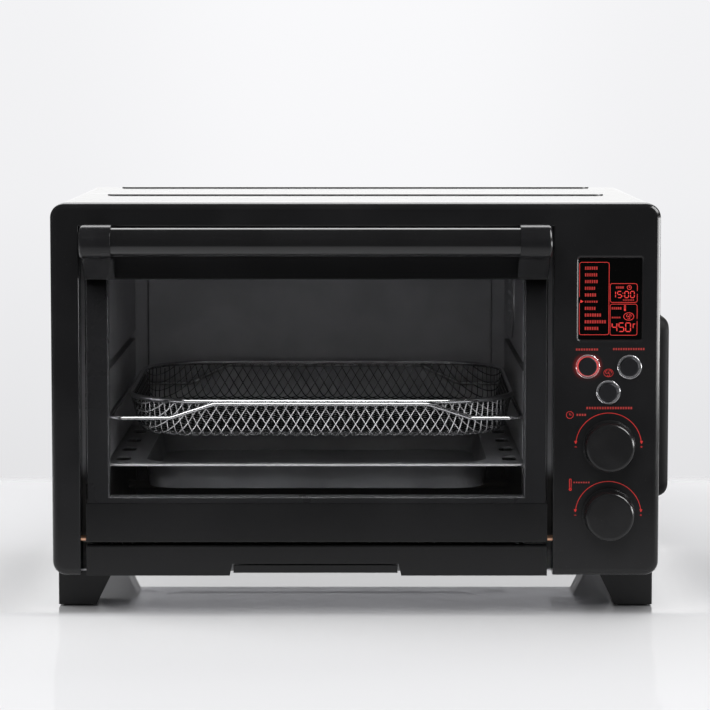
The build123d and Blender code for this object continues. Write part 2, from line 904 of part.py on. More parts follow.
with BuildPart() as door_top_rail:
    with BuildSketch(behind(rail_wall)):
        area(door_x0, door_x1, window_top, door_top)
    extrude(amount=rail_wall)
    with BuildSketch(behind(door_depth)):
        rail_returns(glass_high + clearance, door_top, door_top - frame_sheet)
    extrude(amount=door_depth)
    fillet(door_top_rail.edges().filter_by(Axis.X).group_by(Axis.Y)[0], rail_round)
    with BuildSketch(behind(rail_wall)):
        discs(screw_places, cap_screw_radius + clearance)
    extrude(amount=rail_wall, mode=Mode.SUBTRACT)
save(door_top_rail, "door_top_rail")

with BuildPart() as door_glass:
    with BuildSketch(behind(glass_setback + glass_thickness)):
        area(door_x0, door_x1, glass_low, glass_high)
    extrude(amount=glass_thickness)
    chamfer(door_glass.edges().filter_by(Axis.Z), glass_edge)
save(door_glass, "door_glass")

frame_front = glass_setback + glass_thickness
frame_depth = door_depth - frame_front
frame_x0 = door_x0 + frame_sheet + clearance
frame_x1 = door_x1 - frame_sheet - clearance
inner_low = door_bottom + frame_sheet + clearance
inner_high = door_top - frame_sheet - clearance
block_width = hinge_block + clearance

with BuildPart() as door_frame:
    with BuildSketch(behind(door_depth)):
        area(frame_x0, frame_x1, inner_low, inner_high)
    extrude(amount=frame_depth)
    with BuildSketch(behind(door_depth - frame_sheet)):
        area(frame_x0 + frame_sheet, frame_x1 - frame_sheet,
             inner_low + frame_sheet, inner_high - frame_sheet)
        area(window_x0 - frame_sheet, window_x1 + frame_sheet, window_bottom - frame_sheet,
             window_top + frame_sheet, Mode.SUBTRACT)
    extrude(amount=frame_depth - 2 * frame_sheet, mode=Mode.SUBTRACT)
    with BuildSketch(behind(door_depth)):
        area(window_x0, window_x1, window_bottom, window_top)
    extrude(amount=frame_depth, mode=Mode.SUBTRACT)
    fillet(door_frame.faces().sort_by(Axis.Y)[0].inner_wires()[0].edges(), frame_round)
    with BuildSketch(behind(door_depth)):
        area(door_x0, door_x0 + block_width, door_bottom, door_bottom + block_width)
        area(door_x1 - block_width, door_x1, door_bottom, door_bottom + block_width)
    extrude(amount=door_depth, mode=Mode.SUBTRACT)
save(door_frame, "door_frame")

bumper_z = inner_high - bumper_inset
with BuildPart() as door_bumpers:
    with BuildSketch(behind(plate_front)):
        discs([(frame_x0 + bumper_inset, bumper_z), (frame_x1 - bumper_inset, bumper_z)], bumper_radius)
    extrude(amount=plate_front - door_depth - clearance)
save(door_bumpers, "door_bumpers")

with BuildPart() as hinge_pins:
    for wall_x, door_x, way in ((opening_x0, door_x0, 1), (opening_x1, door_x1, -1)):
        collar_from = wall_x - way * (bezel_wall + pin_seat)
        collar_to = door_x - way * clearance
        for start, end, radius in ((collar_from, collar_to, collar_radius),
                                   (collar_to, door_x + way * pin_reach, pin_radius)):
            with BuildSketch(side.offset(min(start, end))):
                discs([(pin_back, pin_z)], radius)
            extrude(amount=abs(end - start))
save(hinge_pins, "hinge_pins")

# ---------------------------------------------------------------- handle
bar_x0 = door_x0 + cap_width
bar_x1 = door_x1 - cap_width
bar_place = (-handle_back, handle_z)
cap_high = handle_z + cap_half
cap_low = handle_z - cap_half
cap_foot = door_top - cap_leg

with BuildPart() as handle_bar:
    with BuildSketch(side.offset(bar_x0 - cap_socket)):
        discs([bar_place], handle_radius)
        discs([bar_place], handle_radius - handle_wall, Mode.SUBTRACT)
    extrude(amount=bar_x1 - bar_x0 + 2 * cap_socket)
save(handle_bar, "handle_bar")

for name, cap_x, socket_x, end in (("left", door_x0, bar_x0 - cap_socket, 0), ("right", bar_x1, bar_x1, -1)):
    with BuildPart() as cap:
        with BuildSketch(side.offset(cap_x)):
            with BuildLine():
                Polyline((-handle_back, cap_high), (-handle_back + cap_shoulder, cap_high),
                         (0, door_top - cap_top_drop), (0, cap_foot),
                         (-cap_top_drop, cap_foot), (-handle_back + cap_shoulder, cap_low),
                         (-handle_back, cap_low))
                ThreePointArc((-handle_back, cap_low), (-handle_back - cap_half, handle_z),
                              (-handle_back, cap_high))
            make_face()
        extrude(amount=cap_width)
        outer_face = cap.faces().sort_by(Axis.X)[end]
        fillet(outer_face.edges().filter_by(lambda edge: edge.center().Y < face_y - cap_edge / 2), cap_edge)
        with BuildSketch(side.offset(socket_x)):
            discs([bar_place], handle_radius + fit)
        extrude(amount=cap_socket, mode=Mode.SUBTRACT)
        with BuildSketch(front):
            discs([(cap_x + cap_width / 2, screw_z)], cap_screw_radius + fit)
        extrude(amount=cap_screw_reach + cut_over, mode=Mode.SUBTRACT)
    save(cap, f"handle_cap_{name}")

with BuildPart() as handle_screws:
    with BuildSketch(behind(rail_wall)):
        discs(screw_places, cap_screw_radius)
    extrude(amount=rail_wall + cap_screw_reach)
    with BuildSketch(behind(rail_wall + cap_screw_head_height)):
        discs(screw_places, cap_screw_head)
    extrude(amount=cap_screw_head_height)
save(handle_screws, "handle_screws")

# ---------------------------------------------------------------- rack frame
rack_rear = cavity_back - rack_rear_gap
rack_x0 = cavity_x0 - rack_in_rail
rack_x1 = cavity_x1 + rack_in_rail
rack_z = rack_level + clearance + wire_radius
flat_x0 = rack_x0 + rack_flat_left
flat_x1 = rack_x1 - rack_flat_right


def rack_bar(d, rise, way):
    """Corners and raised middle of one end bar, from left to right or back."""
    points = [(rack_x0, d, rack_z), (flat_x0, d, rack_z), (flat_x0 + rack_slope, d, rack_z + rise),
              (flat_x1 - rack_slope, d, rack_z + rise), (flat_x1, d, rack_z), (rack_x1, d, rack_z)]
    return points[::way]


with BuildPart() as rack_frame:
    with BuildLine(level) as rack_path:
        FilletPolyline(*rack_bar(rack_front, rack_rise, 1), *rack_bar(rack_rear, rack_rear_rise, -1),
                       radius=rack_bend, close=True)
    loop = rack_path.wires()[0]
    with BuildSketch(Plane(origin=loop @ 0, z_dir=loop % 0)):
        Circle(wire_radius)
    sweep(path=loop, transition=Transition.RIGHT)
save(rack_frame, "rack_frame")

# ---------------------------------------------------------------- air-fry basket
# The rim drops into the nip behind each raised bar, and the higher rear bar tips the basket forwards.
nest_reach = wire_radius + rim_radius + 2 * fit
basket_front = rack_front + basket_front_nest
basket_rear = rack_rear - basket_rear_nest
rim_front_z = rack_z + rack_rise + sqrt(nest_reach ** 2 - basket_front_nest ** 2)
rim_rear_z = rack_z + rack_rear_rise + sqrt(nest_reach ** 2 - basket_rear_nest ** 2)
basket_run = basket_rear - basket_front
basket_tip = rim_rear_z - rim_front_z
basket_length = sqrt(basket_run ** 2 + basket_tip ** 2)
basket_x0 = cavity_x0 + basket_left
basket_x1 = cavity_x1 - basket_right
skin_depth = basket_depth - rim_radius
rim_level = Plane(origin=level.from_local_coords((0, basket_front, rim_front_z)), x_dir=(1, 0, 0),
                  z_dir=(0, -basket_tip, basket_run))


def basket_outline(inset):
    """Plan of the basket on its own tipped level, from the rim's front line backwards."""
    soft_area(basket_x0 + inset, basket_x1 - inset, inset, basket_length - inset, basket_corner - inset)


with BuildPart() as basket_rim:
    with BuildSketch(rim_level, mode=Mode.PRIVATE) as rim_outline:
        basket_outline(0)
    rim_path = rim_outline.sketch.faces()[0].outer_wire()
    with BuildSketch(Plane(origin=rim_path @ 0, z_dir=rim_path % 0)):
        Circle(rim_radius)
    sweep(path=rim_path)
save(basket_rim, "basket_rim")

with BuildPart() as basket_mesh:
    with BuildSketch(rim_level.offset(-rim_radius)):
        basket_outline(0)
    extrude(amount=-skin_depth, taper=basket_draft)
    with BuildSketch(rim_level.offset(-rim_radius)):
        basket_outline(basket_skin)
    extrude(amount=basket_skin - skin_depth, taper=basket_draft, mode=Mode.SUBTRACT)
save(basket_mesh, "basket_mesh")

# ---------------------------------------------------------------- baking pan
pan_rear = cavity_back - pan_rear_gap
pan_x0 = cavity_x0 - pan_lip
pan_x1 = cavity_x1 + pan_lip
pan_z = pan_level + clearance + pan_bead
pan_flat = pan_z - pan_sheet
slot_mid = (pan_front + pan_rear) / 2 - pan_slot_forward


def pan_outline(inset, corner, mode=Mode.ADD):
    soft_area(pan_x0 + inset, pan_x1 - inset, pan_front + inset, pan_rear - inset, corner, mode)


def well_outline(grow):
    soft_area(cavity_x0 + pan_flange - grow, cavity_x1 - pan_flange + grow,
              pan_front + pan_end - grow, pan_rear - pan_end + grow, pan_corner + grow)


with BuildPart() as baking_pan:
    with BuildSketch(level.offset(pan_flat)):
        pan_outline(0, pan_lip_corner)
    extrude(amount=pan_sheet)
    with BuildSketch(level.offset(pan_z - pan_bead)):
        pan_outline(0, pan_lip_corner)
        pan_outline(pan_bead, pan_lip_corner - pan_bead, Mode.SUBTRACT)
    extrude(amount=pan_bead)
    with BuildSketch(level.offset(pan_flat)):
        well_outline(pan_sheet)
    extrude(amount=-pan_depth, taper=pan_draft)
    with BuildSketch(level.offset(pan_z)):
        well_outline(0)
    extrude(amount=-pan_depth, taper=pan_draft, mode=Mode.SUBTRACT)
    with BuildSketch(level.offset(pan_flat)):
        for x in (cavity_x0 + pan_slot_edge, cavity_x1 - pan_slot_edge):
            with Locations((x, slot_mid)):
                with GridLocations(0, pan_slot_pitch, 1, pan_slots):
                    SlotOverall(pan_slot_length, pan_slot_width, rotation=90)
    extrude(amount=pan_sheet, mode=Mode.SUBTRACT)
save(baking_pan, "baking_pan")

# ---------------------------------------------------------------- display
lens_rear = lens_back + lens_thickness
module_rear = lens_rear + module_depth
with BuildPart() as display_lens:
    with BuildSketch(behind(lens_rear)):
        with Locations(display_place):
            RectangleRounded(display_width - 2 * fit, display_height - 2 * fit, display_corner)
    extrude(amount=lens_thickness)
save(display_lens, "display_lens")

with BuildPart() as display_module:
    with BuildSketch(behind(module_rear)):
        with Locations(display_place):
            Rectangle(display_width + 2 * module_lap, display_height + 2 * module_lap)
    extrude(amount=module_depth)
    with BuildSketch(behind(board_back)):
        with Locations(display_place):
            with GridLocations(display_width - 2 * module_post, display_height - 2 * module_post, 2, 2):
                Circle(module_post)
    extrude(amount=board_back - module_rear)
save(display_module, "display_module")

# ---------------------------------------------------------------- buttons
cap_back = ring_back + clearance + button_flange
stem_back = cap_back + button_stem_length
switch_front = stem_back + button_travel + clearance

with BuildPart() as button_rings:
    with BuildSketch(behind(ring_back)):
        discs(button_centres.values(), ring_radius)
        discs(button_centres.values(), ring_bore, Mode.SUBTRACT)
    extrude(amount=ring_back + ring_proud)
    with BuildSketch(front.offset(ring_proud)):
        discs(button_centres.values(), ring_radius - ring_rim)
    extrude(amount=-ring_dish, taper=ring_dish_slope, mode=Mode.SUBTRACT)
    fillet(button_rings.edges().group_by(Axis.Y)[0].group_by(SortBy.RADIUS)[-1], ring_round)
save(button_rings, "button_rings")

for name, place in button_centres.items():
    with BuildPart() as button:
        with BuildSketch(behind(cap_back)):
            discs([place], button_radius)
        extrude(amount=cap_back + button_proud)
        fillet(button.edges().group_by(Axis.Y)[0], button_round)
        with BuildSketch(behind(cap_back)):
            discs([place], ring_radius - ring_lap)
        extrude(amount=button_flange)
        with BuildSketch(behind(stem_back)):
            discs([place], button_stem)
        extrude(amount=button_stem_length)
    save(button, f"button_{name}")

with BuildPart() as button_switches:
    with BuildSketch(behind(board_back)):
        with Locations(*button_centres.values()):
            Rectangle(switch_size, switch_size)
    extrude(amount=board_back - switch_front)
save(button_switches, "button_switches")

# ---------------------------------------------------------------- knobs
knob_rear = -knob_gap
skirt_front = -knob_gap - knob_skirt_height
face_radius = knob_radius - knob_round
round_middle = knob_round * (1 - sqrt(0.5))
for name, place in knob_centres.items():
    centre_x, z = place
    with BuildPart() as knob:
        with BuildSketch(side.offset(centre_x)):
            with BuildLine():
                Polyline((-knob_length, z + face_radius), (-knob_length, z), (knob_rear, z),
                         (knob_rear, z + knob_skirt), (skirt_front, z + knob_skirt),
                         (skirt_front, z + knob_foot), (knob_round - knob_length, z + knob_radius))
                ThreePointArc((knob_round - knob_length, z + knob_radius),
                              (round_middle - knob_length, z + knob_radius - round_middle),
                              (-knob_length, z + face_radius))
            make_face()
        revolve(axis=Axis(front.from_local_coords(Vector(centre_x, z, 0)), front.z_dir))
        with BuildSketch(behind(-knob_gap)):
            discs([place], knob_radius - knob_wall)
            discs([place], shaft_size + knob_hub, Mode.SUBTRACT)
        extrude(amount=shaft_front, mode=Mode.SUBTRACT)
        with BuildSketch(behind(-knob_gap)):
            discs([place], shaft_size + fit)
        extrude(amount=shaft_front, mode=Mode.SUBTRACT)
    save(knob, f"{name}_knob")

    with BuildPart() as shaft:
        with BuildSketch(behind(shaft_rear)):
            discs([place], shaft_size)
        extrude(amount=shaft_rear + shaft_front)
        with BuildSketch(front):
            with Locations((centre_x, z + shaft_size)):
                Rectangle(2 * shaft_size, 2 * shaft_flat)
        extrude(amount=shaft_front, mode=Mode.SUBTRACT)
    save(shaft, f"{name}_shaft")

with BuildPart() as knob_encoders:
    with BuildSketch(behind(board_back)):
        with Locations(*knob_centres.values()):
            Rectangle(encoder_size, encoder_size)
    extrude(amount=board_back - encoder_front)
    with BuildSketch(behind(encoder_front)):
        discs(knob_centres.values(), shaft_size + encoder_collar)
    extrude(amount=encoder_front - encoder_collar_front)
    with BuildSketch(behind(shaft_rear + clearance)):
        discs(knob_centres.values(), shaft_size + fit)
    extrude(amount=shaft_rear + clearance, mode=Mode.SUBTRACT)
save(knob_encoders, "knob_encoders")

# ---------------------------------------------------------------- boards
board_x0 = opening_x1 + board_edge
board_x1 = half_width - board_edge
board_rear = board_back + board_thickness

with BuildPart() as control_board:
    with BuildSketch(behind(board_rear)):
        area(board_x0, board_x1, base_z + board_low, top_z - board_drop)
        discs(boss_places, screw_core + fit, Mode.SUBTRACT)
    extrude(amount=board_thickness)
save(control_board, "control_board")

with BuildPart() as board_screws:
    with BuildSketch(behind(board_rear)):
        discs(boss_places, screw_core)
    extrude(amount=board_thickness + screw_reach)
    with BuildSketch(behind(board_rear + screw_head_height)):
        discs(boss_places, screw_head)
    extrude(amount=screw_head_height)
save(board_screws, "board_screws")

power_x0 = opening_x1 + power_left
power_x1 = base_half - power_right
power_mid = (power_x0 + power_x1) / 2
power_rear = base_rear - power_rear_gap
power_z = base_top + post_height
post_places = [(x, d) for x in (power_x0 + post_inset, power_x1 - post_inset)
               for d in (power_front + post_inset, power_rear - post_inset)]

with BuildPart() as board_posts:
    with BuildSketch(level.offset(base_top)):
        discs(post_places, post_radius)
    extrude(amount=post_height)
save(board_posts, "board_posts")

with BuildPart() as power_board:
    with BuildSketch(level.offset(power_z)):
        area(power_x0, power_x1, power_front, power_rear)
    extrude(amount=board_thickness)
    for off, back, width, length, height in power_blocks:
        with BuildSketch(level.offset(power_z + board_thickness)):
            with Locations((power_mid + off, power_front + back)):
                Rectangle(width, length)
        extrude(amount=height)
save(power_board, "power_board")

# ---------------------------------------------------------------- feet
foot_rear = base_rear - foot_rear_gap - foot_length
foot_centre = half_width - foot_bottom_width / 2
foot_rows = {"front": foot_front, "rear": foot_rear}
foot_floor = pad_height + foot_wall


def foot_section(hand, inset, low):
    """Corners of a foot's upright section: straight outside, slanting inside."""
    outside = hand * (half_width - inset)
    return [(outside, base_low), (outside, low), (hand * (half_width - foot_bottom_width + inset), low),
            (hand * (half_width - foot_top_width + inset), base_low)]


for row, d in foot_rows.items():
    for name, hand in (("left", -1), ("right", 1)):
        centre = (hand * foot_centre, d + foot_length / 2)
        with BuildPart() as foot:
            for inset, low, mode in ((0, pad_height, Mode.ADD), (foot_wall, foot_floor, Mode.SUBTRACT)):
                with BuildSketch(behind(d + foot_length - inset)):
                    with BuildLine():
                        Polyline(*foot_section(hand, inset, low), close=True)
                    make_face()
                extrude(amount=foot_length - 2 * inset, mode=mode)
            with BuildSketch(level.offset(foot_floor)):
                discs([centre], foot_boss)
            extrude(amount=base_low - foot_floor)
            with BuildSketch(level.offset(pad_height)):
                discs([centre], foot_screw + fit)
            extrude(amount=base_low - pad_height, mode=Mode.SUBTRACT)
            fillet(foot.edges().filter_by(Axis.Z), foot_round)
        save(foot, f"foot_{row}_{name}")

pad_places = [(hand * foot_centre, d + foot_length / 2) for hand in (-1, 1) for d in foot_rows.values()]
with BuildPart() as foot_pads:
    with BuildSketch(level):
        with Locations(*pad_places):
            RectangleRounded(foot_bottom_width - 2 * pad_inset, foot_length - 2 * pad_inset, pad_corner)
    extrude(amount=pad_height)
save(foot_pads, "foot_pads")

with BuildPart() as foot_screws:
    with BuildSketch(level.offset(foot_floor)):
        discs(pad_places, foot_screw)
    extrude(amount=base_low - foot_floor)
save(foot_screws, "foot_screws")
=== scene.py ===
import json
import math

import bmesh
import bpy
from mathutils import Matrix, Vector


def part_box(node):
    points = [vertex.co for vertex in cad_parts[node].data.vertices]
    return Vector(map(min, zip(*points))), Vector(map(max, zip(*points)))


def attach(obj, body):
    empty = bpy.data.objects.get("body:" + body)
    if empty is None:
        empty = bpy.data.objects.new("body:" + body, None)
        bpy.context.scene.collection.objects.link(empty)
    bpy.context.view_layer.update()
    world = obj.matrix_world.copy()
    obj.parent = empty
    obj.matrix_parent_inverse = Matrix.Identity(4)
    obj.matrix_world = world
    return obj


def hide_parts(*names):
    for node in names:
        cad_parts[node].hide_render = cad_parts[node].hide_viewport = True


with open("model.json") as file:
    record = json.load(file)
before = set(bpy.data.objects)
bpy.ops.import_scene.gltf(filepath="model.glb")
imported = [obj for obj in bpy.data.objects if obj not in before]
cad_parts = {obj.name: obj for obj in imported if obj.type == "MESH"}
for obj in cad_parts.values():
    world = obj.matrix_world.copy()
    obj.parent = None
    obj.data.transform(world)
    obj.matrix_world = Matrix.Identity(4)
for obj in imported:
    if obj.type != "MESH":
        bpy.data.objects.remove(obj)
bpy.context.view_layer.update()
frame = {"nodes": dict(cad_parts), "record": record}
record = frame["record"]
MM = 0.001


# ---------------------------------------------------------------- camera
CAMERA_PLACE = (-0.0072, -2.5352, 0.4215)
CAMERA_TILT = math.radians(5.2)
CAMERA_LENS = 157.6
SENSOR_WIDTH = 36


def set_camera():
    """Stands the camera in front of the oven and a little above it, looking slightly down."""
    camera = bpy.data.cameras.new("camera")
    camera.lens = CAMERA_LENS
    camera.sensor_width = SENSOR_WIDTH
    stand = bpy.data.objects.new("camera", camera)
    stand.location = CAMERA_PLACE
    stand.rotation_euler = (math.radians(90) - CAMERA_TILT, 0, 0)
    bpy.context.scene.collection.objects.link(stand)
    bpy.context.scene.camera = stand


set_camera()
bpy.context.scene.view_settings.view_transform = "Standard"


# ---------------------------------------------------------------- small shader tools
def node(tree, kind, inputs=None, **settings):
    """Adds one shader node, sets its options, and joins or sets its inputs."""
    made = tree.nodes.new(kind if kind.startswith("Node") else "ShaderNode" + kind)
    for name, value in settings.items():
        setattr(made, name, value)
    for name, value in (inputs or {}).items():
        if isinstance(value, bpy.types.NodeSocket):
            tree.links.new(value, made.inputs[name])
        else:
            made.inputs[name].default_value = value
    return made


def sums(tree, operation, *values):
    """One step of arithmetic on numbers or sockets."""
    return node(tree, "Math", dict(enumerate(values)), operation=operation).outputs[0]


def product(tree, first, *others):
    """Multiplies numbers or sockets together."""
    for other in others:
        first = sums(tree, "MULTIPLY", first, other)
    return first


def vectors(tree, operation, *values):
    """One step of arithmetic on vectors or sockets, given back as the step's outputs."""
    return node(tree, "VectorMath", dict(enumerate(values)), operation=operation).outputs


def spread(tree, value, low, high, to_low, to_high, smooth=False):
    """Stretches a value from one span to another and keeps it inside."""
    step = "SMOOTHSTEP" if smooth else "LINEAR"
    inputs = {"Value": value, "From Min": low, "From Max": high, "To Min": to_low, "To Max": to_high}
    return node(tree, "MapRange", inputs, interpolation_type=step).outputs[0]


def rise(tree, value, low, high):
    """0 below a span of values and 1 above it, with a soft change between."""
    return spread(tree, value, low, high, 0, 1, smooth=True)


def fall(tree, value, low, high):
    """1 below a span of values and 0 above it, with a soft change between."""
    return spread(tree, value, low, high, 1, 0, smooth=True)


def blend_colours(tree, share, first, second):
    """Mixes two colours, given as sockets or as red, green and blue."""
    mixed = node(tree, "Mix", {"Factor": share}, data_type="RGBA")
    for socket, colour in zip((mixed.inputs[6], mixed.inputs[7]), (first, second)):
        if isinstance(colour, bpy.types.NodeSocket):
            tree.links.new(colour, socket)
        else:
            socket.default_value = (*colour, 1)
    return mixed.outputs[2]


def grey(level):
    """A colour with the same red, green and blue."""
    return (level, level, level)


def scaled(colour, share):
    """A colour made darker or brighter."""
    return tuple(channel * share for channel in colour)


def object_place(tree):
    """Where the shaded point is on its unmoved piece, in metres."""
    return node(tree, "TexCoord").outputs["Object"]


def object_axes(tree):
    """The same place as three numbers: across, along and up."""
    return node(tree, "SeparateXYZ", {0: object_place(tree)}).outputs


def out_from(tree, centre):
    """The way to the shaded point from the line through a centre along Y, and how far off the line it is."""
    away = vectors(tree, "SUBTRACT", object_place(tree), centre)[0]
    flat = vectors(tree, "MULTIPLY", away, (1, 0, 1))[0]
    return flat, vectors(tree, "LENGTH", flat)["Value"]


def bump(tree, height, depth, normal=None):
    """Relief of a depth in millimetres, laid on an already rounded normal where there is one."""
    inputs = {"Height": height, "Distance": depth * MM, "Strength": 1}
    if normal is not None:
        inputs["Normal"] = normal
    return node(tree, "Bump", inputs).outputs[0]


def find_node(tree, kind):
    """The node of a kind in a finish that is already made."""
    return next(item for item in tree.nodes if item.type == kind)


# ---------------------------------------------------------------- studio and lamps
COOL_WHITE = (1, 1, 1.018)
# Brightness of the surroundings: as plain surfaces receive it, and where mirrors show the dim room.
PLAIN_LIGHT = 0.30
ROOM_LIGHT = 0.05


def sweep_seen(tree, aside, up):
    """Brightness of the white sweep behind the oven: it grows upwards, with a soft glow in the middle."""
    below = spread(tree, up, -0.13, -0.04, 0.775, 0.875)
    above = spread(tree, up, -0.04, 0.03, 0, 0.022)
    glow = spread(tree, aside, 0.02, 0.11, 0.055, 0, smooth=True)
    return sums(tree, "ADD", sums(tree, "ADD", below, above), glow)


def room_mirrored(tree, aside, along, up):
    """Brightness of the room in shiny surfaces: a pale wall behind, brightest high up, and dim elsewhere."""
    beside = sums(tree, "MULTIPLY_ADD", along, -0.6, aside)
    wall = product(tree, fall(tree, beside, -0.12, 0.05), fall(tree, up, 0.74, 0.84))
    wash = spread(tree, up, 0.30, 0.50, 0, 2.0, smooth=True)
    return sums(tree, "MULTIPLY_ADD", wall, sums(tree, "ADD", wash, 1.0), ROOM_LIGHT)


def set_studio():
    """Pale studio, painted by direction: each axis runs from -1 to 1, and up is 0 at the horizon."""
    world = bpy.data.worlds.new("studio")
    world.use_nodes = True
    bpy.context.scene.world = world
    tree = world.node_tree
    tree.nodes.clear()
    across, along, up = node(tree, "SeparateXYZ", {0: node(tree, "TexCoord").outputs["Generated"]}).outputs
    aside = sums(tree, "ABSOLUTE", across)
    ray = node(tree, "LightPath").outputs
    cool = vectors(tree, "MULTIPLY", sweep_seen(tree, aside, up), COOL_WHITE)[0]
    seen = node(tree, "Background", {"Color": cool, "Strength": 1}).outputs[0]
    mirrored = sums(tree, "MAXIMUM", ray["Is Glossy Ray"], ray["Is Transmission Ray"])
    lit = spread(tree, mirrored, 0, 1, PLAIN_LIGHT, room_mirrored(tree, aside, along, up))
    shine = node(tree, "Background", {"Color": lit, "Strength": 1}).outputs[0]
    mixed = node(tree, "MixShader", {0: ray["Is Camera Ray"], 1: shine, 2: seen})
    node(tree, "OutputWorld", {"Surface": mixed.outputs[0]})


# Each lamp: where it stands, where it aims, its width and height, its power, and whether it shows as a
# highlight (gloss) or only lights plain colour (fill).
LAMPS = {
    "top_fill": ((0.2, -0.1, 1.75), (0, -0.1, 0.15), (1.9, 1.3), 12, "fill"),
    "front_fill": ((-0.3, -1.9, 1.6), (0, -0.3, 0.0), (1.6, 1.0), 29, "fill"),
    "rear_fill": ((0, 1.3, 0.45), (0, 0.4, 0), (1.6, 0.5), 5, "fill"),
    "left_fill": ((-1.2, 0.15, 0.45), (-0.5, 0.15, 0.0), (0.6, 0.6), 5, "fill"),
    "right_strip": ((1.05, -0.07, 0.21), (0.0, -0.07, 0.21), (1.2, 0.22), 10, "gloss"),
    "right_softbox": ((0.85, -0.25, 0.85), (0.15, -0.2, 0.25), (0.7, 0.6), 16, "gloss"),
}


def set_lamps():
    """Hangs the lamps out of the camera's sight."""
    for name, (place, aim, size, watts, kind) in LAMPS.items():
        lamp = bpy.data.lights.new(name, "AREA")
        lamp.shape = "RECTANGLE"
        lamp.size, lamp.size_y = size
        lamp.energy = watts
        stand = bpy.data.objects.new(name, lamp)
        stand.location = place
        stand.rotation_euler = (Vector(aim) - Vector(place)).to_track_quat("-Z", "Y").to_euler()
        stand.visible_camera = False
        stand.visible_glossy = kind == "gloss"
        stand.visible_diffuse = kind == "fill"
        bpy.context.scene.collection.objects.link(stand)


set_studio()
set_lamps()


# ---------------------------------------------------------------- table top, in metres
TABLE_SIDE = 3.0
TABLE_NEAR = -1.1
TABLE_FAR = 0.72
# The polished plate under the oven starts, ends and fades out sideways over these spans.
PLATE_NEAR = (-0.142, -0.12)
PLATE_FAR = (0.17, 0.27)
PLATE_SIDE = (0.24, 0.30)
PLATE_POLISH = 0.64
SATIN_POLISH = 0.065


def table_shown(tree, aside, along):
    """1 in the middle of the table and 0 at its edges; in mirrors it fades away towards the front too."""
    shown = product(tree, fall(tree, along, 0.64, 0.70), rise(tree, along, -0.92, -0.54),
                    fall(tree, aside, 1.2, 2.9))
    mirrored = node(tree, "LightPath").outputs["Is Glossy Ray"]
    fading = spread(tree, along, -0.95, -0.22, 0.06, 1)
    return product(tree, shown, spread(tree, mirrored, 0, 1, 1, fading))


def table_tone(tree, across, aside, along, plate):
    """Colour of the table with painted light and shade: brighter on the right and just in front of the oven,
    a painted shadow in a band to the oven's left, and a little cloudy.
    """
    # Painted light: the table grows brighter towards the right.
    painted_light_rightwards = spread(tree, across, -0.4, 0.4, 0, 1)
    tone = blend_colours(tree, painted_light_rightwards, (0.80, 0.80, 0.815), (0.92, 0.92, 0.935))
    # Painted shadow: a darker band beside the oven on its left.
    painted_shadow_left = product(tree, plate, fall(tree, across, -0.30, 0.0))
    tone = blend_colours(tree, painted_shadow_left, tone, (0.79, 0.79, 0.80))
    # Painted light: a brighter patch just in front of the oven.
    front = product(tree, rise(tree, along, -0.40, -0.17), spread(tree, along, -0.15, -0.14, 1, 0),
                    fall(tree, aside, 0.20, 0.34))
    tone = blend_colours(tree, front, tone, (0.93, 0.93, 0.94))
    cloud = node(tree, "TexNoise", {"Scale": 3.0, "Detail": 2}).outputs[0]
    return blend_colours(tree, product(tree, cloud, 0.04), tone, grey(0.7))


def table_shine(tree, aside, along, plate):
    """How much the table mirrors: the plate most, the satin in front less, and both more at a low angle."""
    polish = product(tree, plate, fall(tree, aside, *PLATE_SIDE))
    satin = product(tree, spread(tree, along, *PLATE_NEAR, SATIN_POLISH, 0), fall(tree, aside, 0.25, 0.32))
    grazing = spread(tree, node(tree, "LayerWeight").outputs["Facing"], 0.60, 0.88, 0.06, 1)
    return product(tree, sums(tree, "MULTIPLY_ADD", polish, PLATE_POLISH, satin), grazing)


def white_table():
    """White table top: satin in front, a polished plate under the oven, fading out at its edges."""
    material = bpy.data.materials.new("white_table")
    material.use_nodes = True
    tree = material.node_tree
    tree.nodes.clear()
    across, along, _ = object_axes(tree)
    aside = sums(tree, "ABSOLUTE", across)
    plate = product(tree, rise(tree, along, *PLATE_NEAR), fall(tree, along, *PLATE_FAR))
    top = node(tree, "BsdfDiffuse", {"Color": table_tone(tree, across, aside, along, plate)}).outputs[0]
    mirror = node(tree, "BsdfGlossy", {"Color": (0.97, 0.97, 0.98, 1), "Roughness": 0.012}).outputs[0]
    shine = table_shine(tree, aside, along, plate)
    surface = node(tree, "MixShader", {0: shine, 1: top, 2: mirror}).outputs[0]
    clear = node(tree, "BsdfTransparent").outputs[0]
    mixed = node(tree, "MixShader", {0: table_shown(tree, aside, along), 1: clear, 2: surface}).outputs[0]
    node(tree, "OutputMaterial", {"Surface": mixed})
    return material


def keep_gloss_lamps_off(table):
    """The lamps that show as highlights don't light the table, so it doesn't mirror them."""
    skipped = bpy.data.collections.new("not_lit_by_gloss_lamps")
    skipped.objects.link(table)
    skipped.collection_objects[0].light_linking.link_state = "EXCLUDE"
    for name, lamp_facts in LAMPS.items():
        if lamp_facts[-1] == "gloss":
            bpy.data.objects[name].light_linking.receiver_collection = skipped


def set_floor():
    """Lays the table under the oven."""
    mesh = bpy.data.meshes.new("table_top")
    corners = [(-TABLE_SIDE, TABLE_NEAR, 0), (TABLE_SIDE, TABLE_NEAR, 0),
               (TABLE_SIDE, TABLE_FAR, 0), (-TABLE_SIDE, TABLE_FAR, 0)]
    mesh.from_pydata(corners, [], [(0, 1, 2, 3)])
    mesh.materials.append(white_table())
    table = bpy.data.objects.new("table_top", mesh)
    bpy.context.scene.collection.objects.link(table)
    keep_gloss_lamps_off(table)


set_floor()


